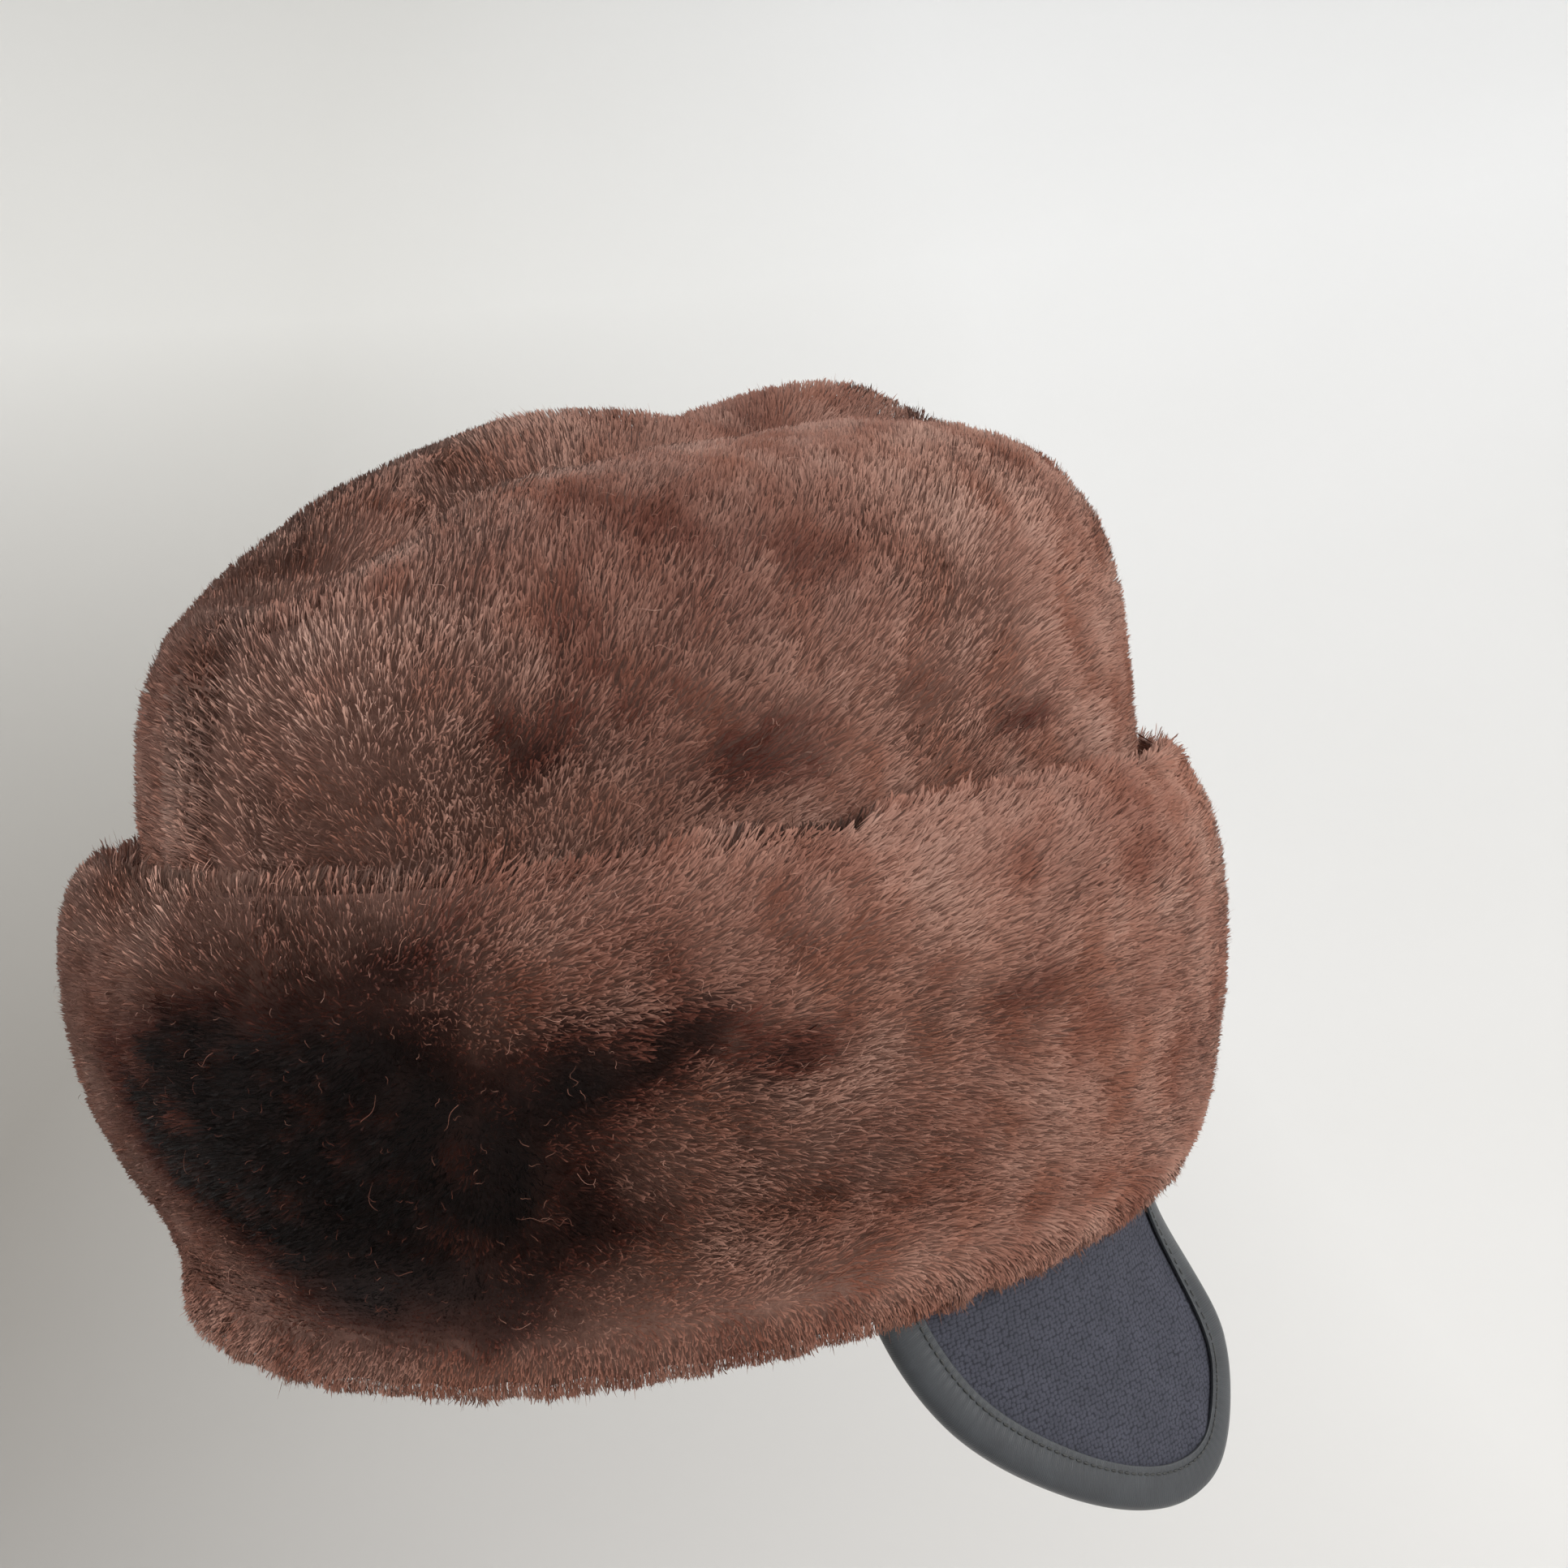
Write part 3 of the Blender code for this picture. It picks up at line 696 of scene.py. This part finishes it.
def pile_material(name, deep, mid, pale):
    """Brown dyed wool, darkened from tip to root by painted shade, in patches of warmer and greyer
    brown; painted shade where the pile opens, painted light at its pale stretches.
    """
    material, tree, shader = begin_material(name)
    place = add(tree, "TexCoord").outputs["Object"]
    pile = add(tree, "Attribute", attribute_name="pile")
    parts = add(tree, "SeparateColor")
    tree.links.new(pile.outputs["Color"], parts.inputs["Color"])
    along, tone, opened_shade = (parts.outputs[k] for k in range(3))
    fibre = colours(tree, tone, [(0.0, deep), (0.45, mid), (1.0, pale)])
    hue = colours(tree, noise(tree, place, 62), [
        (0.34, (1.05, 1.08, 1.09)), (0.5, (1.0, 0.95, 0.93)), (0.66, (0.76, 0.59, 0.52))])
    fibre = mixed(tree, "MULTIPLY", 1.0, fibre, hue)
    # painted shade deep in the pile, towards the roots
    depth = colours(tree, along, [
        (0.0, (0.74, 0.68, 0.66)), (0.6, (0.9, 0.87, 0.86)), (1.0, (1, 1, 1))])
    fibre = mixed(tree, "MULTIPLY", 1.0, fibre, depth)
    # painted shade where the pile opens, near black deep in its depth
    dark = colours(tree, opened_shade, [
        (0.0, (1, 1, 1)), (0.4, (0.38, 0.22, 0.19)), (0.75, (0.07, 0.038, 0.031)),
        (1.0, (0.02, 0.011, 0.009))])
    fibre = mixed(tree, "MULTIPLY", 1.0, fibre, dark)
    # painted light: the pale stretches keep their colour while the rest of the pile is darkened a
    # little
    closed = calculated(tree, "MULTIPLY", opened_shade, -1.0)
    pale_light = colours(tree, closed, [(0.0, (0.78, 0.78, 0.78)), (1.0, (1, 1, 1))])
    fibre = mixed(tree, "MULTIPLY", 1.0, fibre, pale_light)
    tree.links.new(fibre, shader.inputs["Base Color"])
    shader.inputs["Roughness"].default_value = 0.62
    shader.inputs["Specular IOR Level"].default_value = 0.18
    shader.inputs["Sheen Weight"].default_value = 0.03
    shader.inputs["Sheen Roughness"].default_value = 0.5
    shader.inputs["Sheen Tint"].default_value = (0.9, 0.78, 0.7, 1)
    return material


def skin_material(name, dark, light):
    """The dense wool between the roots, with painted shade where the pile opens."""
    material, tree, shader = begin_material(name)
    place = add(tree, "TexCoord").outputs["Object"]
    pile = add(tree, "Attribute", attribute_name="pile")
    parts = add(tree, "SeparateColor")
    tree.links.new(pile.outputs["Color"], parts.inputs["Color"])
    felt = noise(tree, place, 900, 4)
    wool = colours(tree, felt, [(0.3, dark), (0.7, light)])
    # painted shade where the pile opens
    gap = colours(tree, parts.outputs[2], [
        (0.0, (1, 1, 1)), (0.4, (0.3, 0.21, 0.19)), (0.8, (0.07, 0.045, 0.04))])
    tree.links.new(mixed(tree, "MULTIPLY", 1.0, wool, gap), shader.inputs["Base Color"])
    bump(tree, shader, felt, 0.6, 0.0006)
    shader.inputs["Roughness"].default_value = 0.9
    return material


def flesh_material(name):
    """Plain suede of the head side."""
    material, tree, shader = begin_material(name)
    place = add(tree, "TexCoord").outputs["Object"]
    cloudy = noise(tree, place, 30, 3)
    nap = noise(tree, place, 1400, 3)
    suede = colours(tree, cloudy, [(0.3, (0.105, 0.062, 0.045)), (0.7, (0.15, 0.092, 0.068))])
    shade = colours(tree, nap, [(0.35, (0.5, 0.5, 0.5)), (0.65, (1, 1, 1))])
    suede = mixed(tree, "MULTIPLY", 0.35, suede, shade)
    tree.links.new(suede, shader.inputs["Base Color"])
    bump(tree, shader, nap, 0.35, 0.0003)
    shader.inputs["Roughness"].default_value = 0.88
    shader.inputs["Sheen Weight"].default_value = 0.2
    return material


def knit_material(name):
    """Fine slate wool knit, a little felted, its stitches following the flap's own map."""
    material, tree, shader = begin_material(name)
    cloth = add(tree, "UVMap", uv_map="cloth")
    stretch = add(tree, "Mapping")
    stretch.inputs["Scale"].default_value = (9.5, 12.5, 1)
    tree.links.new(cloth.outputs["UV"], stretch.inputs["Vector"])
    holes = add(tree, "TexVoronoi", voronoi_dimensions="2D", feature="F1", Scale=1.0, Randomness=0.5)
    tree.links.new(stretch.outputs["Vector"], holes.inputs["Vector"])
    rows = add(tree, "TexWave", wave_type="BANDS", bands_direction="Y", Scale=2.0,
               Distortion=2.2, Detail=2.0)
    rows.inputs["Detail Scale"].default_value = 6.0
    tree.links.new(stretch.outputs["Vector"], rows.inputs["Vector"])
    soft = noise(tree, cloth.outputs["UV"], 1.6, 4)
    fuzz = noise(tree, cloth.outputs["UV"], 34, 3)
    base = colours(tree, soft, [(0.3, (0.066, 0.069, 0.092)), (0.7, (0.094, 0.097, 0.128))])
    # painted shade in the holes between the loops, and in the furrows between the rows
    pin = colours(tree, holes.outputs["Distance"], [(0.36, (1, 1, 1)), (0.62, (0.15, 0.15, 0.19))])
    base = mixed(tree, "MULTIPLY", 0.9, base, pin)
    course = colours(tree, rows.outputs["Fac"], [(0.2, (0.55, 0.55, 0.6)), (0.8, (1, 1, 1))])
    base = mixed(tree, "MULTIPLY", 0.8, base, course)
    loose = colours(tree, fuzz, [(0.6, (0, 0, 0)), (0.8, (0.4, 0.4, 0.4))])
    base = mixed(tree, "MIX", loose, base, (0.15, 0.15, 0.175))
    tree.links.new(base, shader.inputs["Base Color"])
    height = calculated(tree, "MULTIPLY", rows.outputs["Fac"], 0.35)
    height = calculated(tree, "SUBTRACT", height, holes.outputs["Distance"])
    height = calculated(tree, "MULTIPLY_ADD", fuzz, 0.5, height)
    bump(tree, shader, height, 0.9, 0.00045)
    shader.inputs["Roughness"].default_value = 0.85
    shader.inputs["Specular IOR Level"].default_value = 0.25
    shader.inputs["Sheen Weight"].default_value = 0.12
    shader.inputs["Sheen Roughness"].default_value = 0.5
    shader.inputs["Sheen Tint"].default_value = (0.7, 0.72, 0.9, 1)
    return material


def satin_material(name, colour_low, colour_high):
    """Satin tape: fine threads across its width and a soft gleam."""
    material, tree, shader = begin_material(name)
    run = add(tree, "UVMap", uv_map="tape")
    threads = add(tree, "TexWave", wave_type="BANDS", bands_direction="X", Scale=7.0,
                  Distortion=1.6, Detail=2.0)
    threads.inputs["Detail Scale"].default_value = 3.0
    tree.links.new(run.outputs["UV"], threads.inputs["Vector"])
    soft = noise(tree, run.outputs["UV"], 1.4, 3)
    satin = colours(tree, soft, [(0.3, colour_low), (0.7, colour_high)])
    shade = colours(tree, threads.outputs["Fac"], [(0.1, (0.6, 0.6, 0.6)), (0.9, (1, 1, 1))])
    satin = mixed(tree, "MULTIPLY", 0.35, satin, shade)
    tree.links.new(satin, shader.inputs["Base Color"])
    bump(tree, shader, threads.outputs["Fac"], 0.35, 0.00008)
    shader.inputs["Roughness"].default_value = 0.42
    shader.inputs["Anisotropic"].default_value = 0.5
    shader.inputs["Sheen Weight"].default_value = 0.1
    return material


def thread_material(name):
    material, tree, shader = begin_material(name)
    place = add(tree, "TexCoord").outputs["Object"]
    twist = noise(tree, place, 2600, 2)
    strand = colours(tree, twist, [(0.3, (0.008, 0.009, 0.009)), (0.7, (0.035, 0.037, 0.036))])
    tree.links.new(strand, shader.inputs["Base Color"])
    bump(tree, shader, twist, 0.5, 0.0001)
    shader.inputs["Roughness"].default_value = 0.5
    return material


def stretched(tree, value, low, high):
    """A value stretched so that low to high becomes 0 to 1."""
    node = add(tree, "MapRange")
    node.inputs["From Min"].default_value = low
    node.inputs["From Max"].default_value = high
    tree.links.new(value, node.inputs["Value"])
    return node.outputs["Result"]


def stage_material(name):
    """Pale paint with painted shade: darker towards the floor and towards the left of the camera's
    view.
    """
    material, tree, shader = begin_material(name)
    place = add(tree, "TexCoord").outputs["Object"]
    soft = noise(tree, place, 1.3, 2)
    pale = colours(tree, soft, [(0.3, (0.87, 0.865, 0.85)), (0.7, (0.9, 0.895, 0.885))])
    axes = add(tree, "SeparateXYZ")
    tree.links.new(place, axes.inputs["Vector"])
    # painted shade: the paint darkens towards the floor
    rise = stretched(tree, axes.outputs["Z"], -0.25, 0.55)
    level = colours(tree, rise, [(0.0, (0.80, 0.79, 0.78)), (1.0, (1, 1, 1))])
    # painted shade: the paint darkens towards the left of the camera's view
    across = calculated(tree, "MULTIPLY", axes.outputs["Y"], VIEW_RIGHT_Y)
    across = calculated(tree, "MULTIPLY_ADD", axes.outputs["X"], VIEW_RIGHT_X, across)
    side = stretched(tree, across, -0.5, 0.3)
    low = colours(tree, side, [(0.0, (0.34, 0.32, 0.295)), (1.0, (1, 1, 1))])
    high = colours(tree, side, [(0.0, (0.86, 0.85, 0.825)), (1.0, (1, 1, 1))])
    shade = mixed(tree, "MIX", rise, low, high)
    level = mixed(tree, "MULTIPLY", 1.0, level, shade)
    tree.links.new(mixed(tree, "MULTIPLY", 1.0, pale, level), shader.inputs["Base Color"])
    shader.inputs["Roughness"].default_value = 0.95
    shader.inputs["Specular IOR Level"].default_value = 0.1
    return material


# Ear flaps

def smoothstep(low, high, value):
    t = min(max((value - low) / (high - low), 0.0), 1.0)
    return t * t * (3.0 - 2.0 * t)


def between(a, b, t):
    return a + (b - a) * t


def spline(points, t):
    """Smooth curve through short tuples; t runs from 0 to len(points) - 1."""
    k = min(max(int(t), 0), len(points) - 2)
    u = t - k
    before = points[max(k - 1, 0)]
    after = points[min(k + 2, len(points) - 1)]
    out = []
    for p0, p1, p2, p3 in zip(before, points[k], points[k + 1], after):
        bend = 2 * p0 - 5 * p1 + 4 * p2 - p3
        twist = 3 * p1 - p0 - 3 * p2 + p3
        out.append(0.5 * (2 * p1 + (p2 - p0) * u + bend * u * u + twist * u ** 3))
    return out


def ring_x(y, inset):
    share = min(abs(y) / (HALF_LENGTH - inset), 1.0)
    return (HALF_WIDTH - inset) * (1.0 - share ** PLAN_POWER) ** (1.0 / PLAN_POWER)


def flap_surface(y, z):
    """Point in the middle of the flap's thickness; it flattens below the hem."""
    inset = between(FLAP_HEM_INSET, FLAP_ROOT_INSET, min(max(z / FLAP_ROOT_TOP, 0.0), 1.0))
    flat = FLAP_BOTTOM_OFFSET - (y - FLAP_MIDDLE) ** 2 / (2.0 * FLAP_BOTTOM_RADIUS)
    drop = max(-z, 0.0)
    flare = FLAP_FLARE * drop * drop / (drop + FLAP_FLARE_START)
    return Vector((between(ring_x(y, inset), flat, smoothstep(0.0, 34 * MM, drop)) + flare, y, z))


def flap_normal(y, z):
    step = 0.5 * MM
    along = flap_surface(y + step, z) - flap_surface(y - step, z)
    up = flap_surface(y, z + step) - flap_surface(y, z - step)
    return along.cross(up).normalized()


def flap_edge(samples):
    """Evenly spaced points of the flap's outline, as (y, z), and its length."""
    fine = [spline(FLAP_OUTLINE, (len(FLAP_OUTLINE) - 1) * k / 900.0) for k in range(901)]
    lengths = [0.0]
    for a, b in zip(fine, fine[1:]):
        lengths.append(lengths[-1] + hypot(b[0] - a[0], b[1] - a[1]))
    out = []
    k = 0
    for n in range(samples + 1):
        target = lengths[-1] * n / samples
        while k < len(fine) - 2 and lengths[k + 1] < target:
            k += 1
        share = (target - lengths[k]) / (lengths[k + 1] - lengths[k])
        out.append(tuple(between(a, b, share) for a, b in zip(fine[k], fine[k + 1])))
    return out


def flap_span(z, edge):
    """Where the outline crosses a height, at the front and at the rear."""
    low = min(range(len(edge)), key=lambda k: edge[k][1])
    found = []
    for side in (edge[:low + 1], edge[low:][::-1]):
        y = side[-1][0]
        for a, b in zip(side, side[1:]):
            if a[1] >= z >= b[1] and a[1] > b[1]:
                y = between(a[0], b[0], (a[1] - z) / (a[1] - b[1]))
                break
        found.append(y)
    return found


def make_flap_cloth(name, part, side, material):
    """A grid of cloth laid on the flap's surface, then thickened."""
    edge = flap_edge(900)
    bottom = min(point[1] for point in edge)
    columns, rows = 44, 56
    cloth = bmesh.new()
    bmesh.ops.create_grid(cloth, x_segments=columns, y_segments=rows, size=1.0)
    layer = cloth.loops.layers.uv.new("cloth")
    for vert in cloth.verts:
        share = sin(0.5 * pi * (1 - vert.co.y) / 2)
        z = between(FLAP_ROOT_TOP, bottom + 0.25 * MM, share)
        front, rear = flap_span(z, edge)
        y = between(front, rear, (vert.co.x + 1) / 2)
        point = flap_surface(y, z)
        # a soft upright fold near the rear edge, as the cloth hangs
        fold = 0.5 * MM * np.exp(-((y - 47 * MM) / (3.2 * MM)) ** 2) * smoothstep(6 * MM, 26 * MM, -z)
        vert.co = Vector((side * (point.x + fold), point.y, point.z))
    area = sum(face.calc_area() for face in cloth.faces)
    for face in cloth.faces:
        for loop in face.loops:
            loop[layer].uv = (loop.vert.co.y * 100, loop.vert.co.z * 100)
    if side < 0:
        bmesh.ops.reverse_faces(cloth, faces=cloth.faces)
    mesh = bpy.data.meshes.new(name)
    cloth.to_mesh(mesh)
    cloth.free()
    piece = new_piece(name, mesh, material)
    thick = piece.modifiers.new("cloth", "SOLIDIFY")
    thick.thickness = FLAP_THICKNESS
    thick.offset = 0.0
    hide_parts(part)
    return piece, area


def tape_path(stations):
    """Frames along the free edge: point, inward across the cloth, outward from it."""
    free = [point for point in flap_edge(1600) if point[1] <= TAPE_TOP]
    found = []
    for n in range(stations + 1):
        k = round((len(free) - 1) * n / stations)
        before, after = free[max(k - 4, 0)], free[min(k + 4, len(free) - 1)]
        tangent = (flap_surface(*after) - flap_surface(*before)).normalized()
        normal = flap_normal(*free[k])
        found.append((flap_surface(*free[k]), normal.cross(tangent).normalized(), normal))
    return found


def make_tape(name, part, side, material):
    """A folded satin strip carried round the edge, puckered between its stitches."""
    under = 0.5 * FLAP_THICKNESS + TAPE_GAP
    over = under + TAPE_THICKNESS
    fold = TAPE_EDGE_GAP + TAPE_THICKNESS
    # one face of the section: how far in from the edge, how far out, how much it puckers
    face = [
        (TAPE_WIDTH, under, 0.0), (TAPE_WIDTH, over - 0.1 * MM, 0.2),
        (TAPE_WIDTH - 0.35 * MM, over + 0.08 * MM, 0.6),
        (TAPE_WIDTH - STITCH_INSET, over - 0.16 * MM, 1.0),
        (TAPE_WIDTH - 2.6 * MM, over + 0.05 * MM, 0.7), (2.4 * MM, over + 0.05 * MM, 0.2),
        (0.6 * MM, over - 0.02 * MM, 0.0), (-0.5 * fold, 0.82 * over, 0.0),
        (-0.9 * fold, 0.45 * over, 0.0),
    ]
    section = face + [(-fold, 0.0, 0.0)] + [(across, -out, soft) for across, out, soft in face[::-1]]
    section += [(-TAPE_EDGE_GAP, -under, 0.0), (-TAPE_EDGE_GAP, under, 0.0)]
    path = tape_path(TAPE_STATIONS)
    travelled = 0.0
    runs = [0.0]
    for a, b in zip(path, path[1:]):
        travelled += (b[0] - a[0]).length
        runs.append(travelled)
    strip = bmesh.new()
    layer = strip.loops.layers.uv.new("tape")
    measure = strip.verts.layers.float.new("run")
    width = strip.verts.layers.float.new("across")

    def place(ring, station):
        point, inward, outward = path[station]
        pucker = 0.5 - 0.5 * cos(tau * runs[station] / STITCH_PITCH)
        for vert, (across, out, soft) in zip(ring, section):
            sign = 1 if out > 0 else -1
            puffed = out + sign * soft * TAPE_PUCKER * (pucker - 0.5)
            spot = point + inward * across + outward * puffed
            vert.co = Vector((side * spot.x, spot.y, spot.z))
            vert[measure] = runs[station] * 100
            vert[width] = across * 100

    ring = [strip.verts.new() for _ in section]
    place(ring, 0)
    edges = [strip.edges.new((ring[k], ring[(k + 1) % len(ring)])) for k in range(len(ring))]
    ends = [list(edges)]
    for station in range(1, len(path)):
        made = bmesh.ops.extrude_edge_only(strip, edges=edges)["geom"]
        moved = {}
        for item in made:
            if isinstance(item, bmesh.types.BMVert):
                moved[tuple(round(c, 9) for c in item.co)] = item
        ring = [moved[tuple(round(c, 9) for c in vert.co)] for vert in ring]
        place(ring, station)
        corners = set(ring)
        edges = [item for item in made
                 if isinstance(item, bmesh.types.BMEdge) and set(item.verts) <= corners]
    ends.append(edges)
    for end in ends:
        bmesh.ops.holes_fill(strip, edges=end, sides=len(section))
    bmesh.ops.recalc_face_normals(strip, faces=strip.faces)
    for side_face in strip.faces:
        for loop in side_face.loops:
            loop[layer].uv = (loop.vert[measure], loop.vert[width])
    mesh = bpy.data.meshes.new(name)
    strip.to_mesh(mesh)
    strip.free()
    piece = new_piece(name, mesh, material)
    mesh.set_sharp_from_angle(angle=radians(50))
    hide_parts(part)
    return piece, travelled


def make_stitches(name, side, travelled, material):
    """A row of lockstitches on both faces of the tape."""
    path = tape_path(round(travelled / STITCH_PITCH) * STATIONS_PER_STITCH)
    skin = 0.5 * FLAP_THICKNESS + TAPE_GAP + TAPE_THICKNESS
    row = bmesh.new()
    for station in range(3, len(path) - 3, STATIONS_PER_STITCH):
        point, inward, outward = path[station]
        ahead = (path[station + 1][0] - path[station - 1][0]).normalized()
        for sign in (1, -1):
            made = bmesh.ops.create_uvsphere(row, u_segments=6, v_segments=5, radius=1.0)["verts"]
            size = (THREAD_RADIUS * 1.2, THREAD_RADIUS, STITCH_LENGTH / 2)
            bmesh.ops.scale(row, verts=made, vec=size)
            turned = Matrix((inward, outward, ahead)).transposed().to_4x4()
            spot = point + inward * (TAPE_WIDTH - STITCH_INSET) + outward * sign * (skin - 0.1 * MM)
            turned.translation = spot
            bmesh.ops.transform(row, verts=made, matrix=turned)
    bmesh.ops.scale(row, verts=row.verts, vec=(side, 1, 1))
    bmesh.ops.recalc_face_normals(row, faces=row.faces)
    mesh = bpy.data.meshes.new(name)
    row.to_mesh(mesh)
    row.free()
    return new_piece(name, mesh, material)


# Camera, stage and light

def set_camera():
    """The photograph's view: place, aim and roll."""
    right = Vector((0.68318, 0.72367, -0.0978))
    ahead = Vector((-0.73022, 0.67823, -0.08237)).normalized()
    above = right.cross(ahead).normalized()
    right = ahead.cross(above).normalized()
    camera = bpy.data.objects.new("camera", bpy.data.cameras.new("camera"))
    camera.matrix_world = Matrix((right, above, -ahead)).transposed().to_4x4()
    camera.location = (0.344335, -0.28407, 0.12966)
    camera.data.lens = 46.1
    camera.data.sensor_width = 36
    camera.data.clip_start = 0.01
    bpy.context.scene.collection.objects.link(camera)
    bpy.context.scene.camera = camera


def make_stage():
    """A pale floor that curves up into a wall on all sides."""
    bowl = bmesh.new()
    floor, radius, height, corner = -0.24, 2.7, 3.0, 2.3
    profile = [(0.001, floor), (radius - corner, floor)]
    for k in range(1, 20):
        angle = 0.5 * pi * k / 20
        profile.append((radius - corner + corner * sin(angle), floor + corner * (1 - cos(angle))))
    profile += [(radius, floor + corner), (radius, floor + height)]
    verts = [bowl.verts.new((r, 0, z)) for r, z in profile]
    edges = [bowl.edges.new(pair) for pair in zip(verts, verts[1:])]
    bmesh.ops.spin(bowl, geom=verts + edges, cent=(0, 0, 0), axis=(0, 0, 1), angle=tau,
                   steps=64, use_merge=True)
    bmesh.ops.recalc_face_normals(bowl, faces=bowl.faces)
    bmesh.ops.reverse_faces(bowl, faces=bowl.faces)
    mesh = bpy.data.meshes.new("studio_floor")
    bowl.to_mesh(mesh)
    bowl.free()
    mesh.materials.append(stage_material("pale_studio_painted_shade"))
    mesh.polygons.foreach_set("use_smooth", [True] * len(mesh.polygons))
    item = bpy.data.objects.new("studio_floor", mesh)
    bpy.context.scene.collection.objects.link(item)


def add_lamp(name, place, size, power, colour):
    lamp = bpy.data.objects.new(name, bpy.data.lights.new(name, "AREA"))
    lamp.data.shape = "DISK"
    lamp.data.size = size
    lamp.data.energy = power
    lamp.data.color = colour
    lamp.location = place
    lamp.rotation_euler = (Vector((0, 0, 0.08)) - Vector(place)).to_track_quat("-Z", "Y").to_euler()
    bpy.context.scene.collection.objects.link(lamp)


def set_light():
    world = bpy.data.worlds.new("soft_room")
    world.use_nodes = True
    world.node_tree.nodes["Background"].inputs["Color"].default_value = (0.93, 0.96, 1.0, 1)
    world.node_tree.nodes["Background"].inputs["Strength"].default_value = 0.78
    bpy.context.scene.world = world
    bpy.context.scene.view_settings.view_transform = "Standard"
    add_lamp("window", (1.35, 0.45, 0.7), 1.1, 17.2, (1.0, 0.985, 0.96))
    add_lamp("front_fill", (-0.4, -1.45, 0.45), 1.3, 20, (0.98, 0.985, 1.0))
    add_lamp("back_fill", (-1.1, 0.7, 2.0), 1.4, 6, (1.0, 0.99, 0.97))
    add_lamp("above", (0.1, 0.1, 1.8), 1.4, 3, (1.0, 1.0, 1.0))


set_camera()
make_stage()
set_light()

crown_pile = pile_material(
    "crown_pile", (0.27, 0.121, 0.086), (0.38, 0.197, 0.148), (0.51, 0.298, 0.232))
cuff_pile = pile_material(
    "cuff_pile", (0.265, 0.113, 0.080), (0.375, 0.187, 0.138), (0.505, 0.287, 0.220))
pile_base = skin_material("pile_base", (0.15, 0.074, 0.054), (0.22, 0.115, 0.086))
suede = flesh_material("head_side_suede")
knit = knit_material("slate_knit")
satin = satin_material("tape_satin", (0.012, 0.015, 0.020), (0.022, 0.027, 0.033))
thread = thread_material("tape_thread")

for side_name, seed in (("left", 100), ("right", 200)):
    part = f"crown_{side_name}"
    skin = make_skin(f"{part}_skin", part, pile_base, suede)
    pile = grow_pile(f"{part}_pile", skin, "crown", crown_density, crown_pile, seed)

skin = make_skin("cuff_skin", "cuff", pile_base, suede)

for third, (third_name, low, high) in enumerate(CUFF_THIRDS):
    pile = grow_pile(f"cuff_pile_{third_name}", skin, "cuff", cuff_density(low, high), cuff_pile,
                     300 + 10 * third)

for side_name, side in (("left", 1), ("right", -1)):
    part = f"ear_flap_{side_name}"
    cloth, cloth_area = make_flap_cloth(f"{part}_cloth", part, side, knit)
    tape, tape_length = make_tape(f"{part}_tape", f"{part}_binding", side, satin)
    stitches = make_stitches(f"{part}_stitches", side, tape_length, thread)
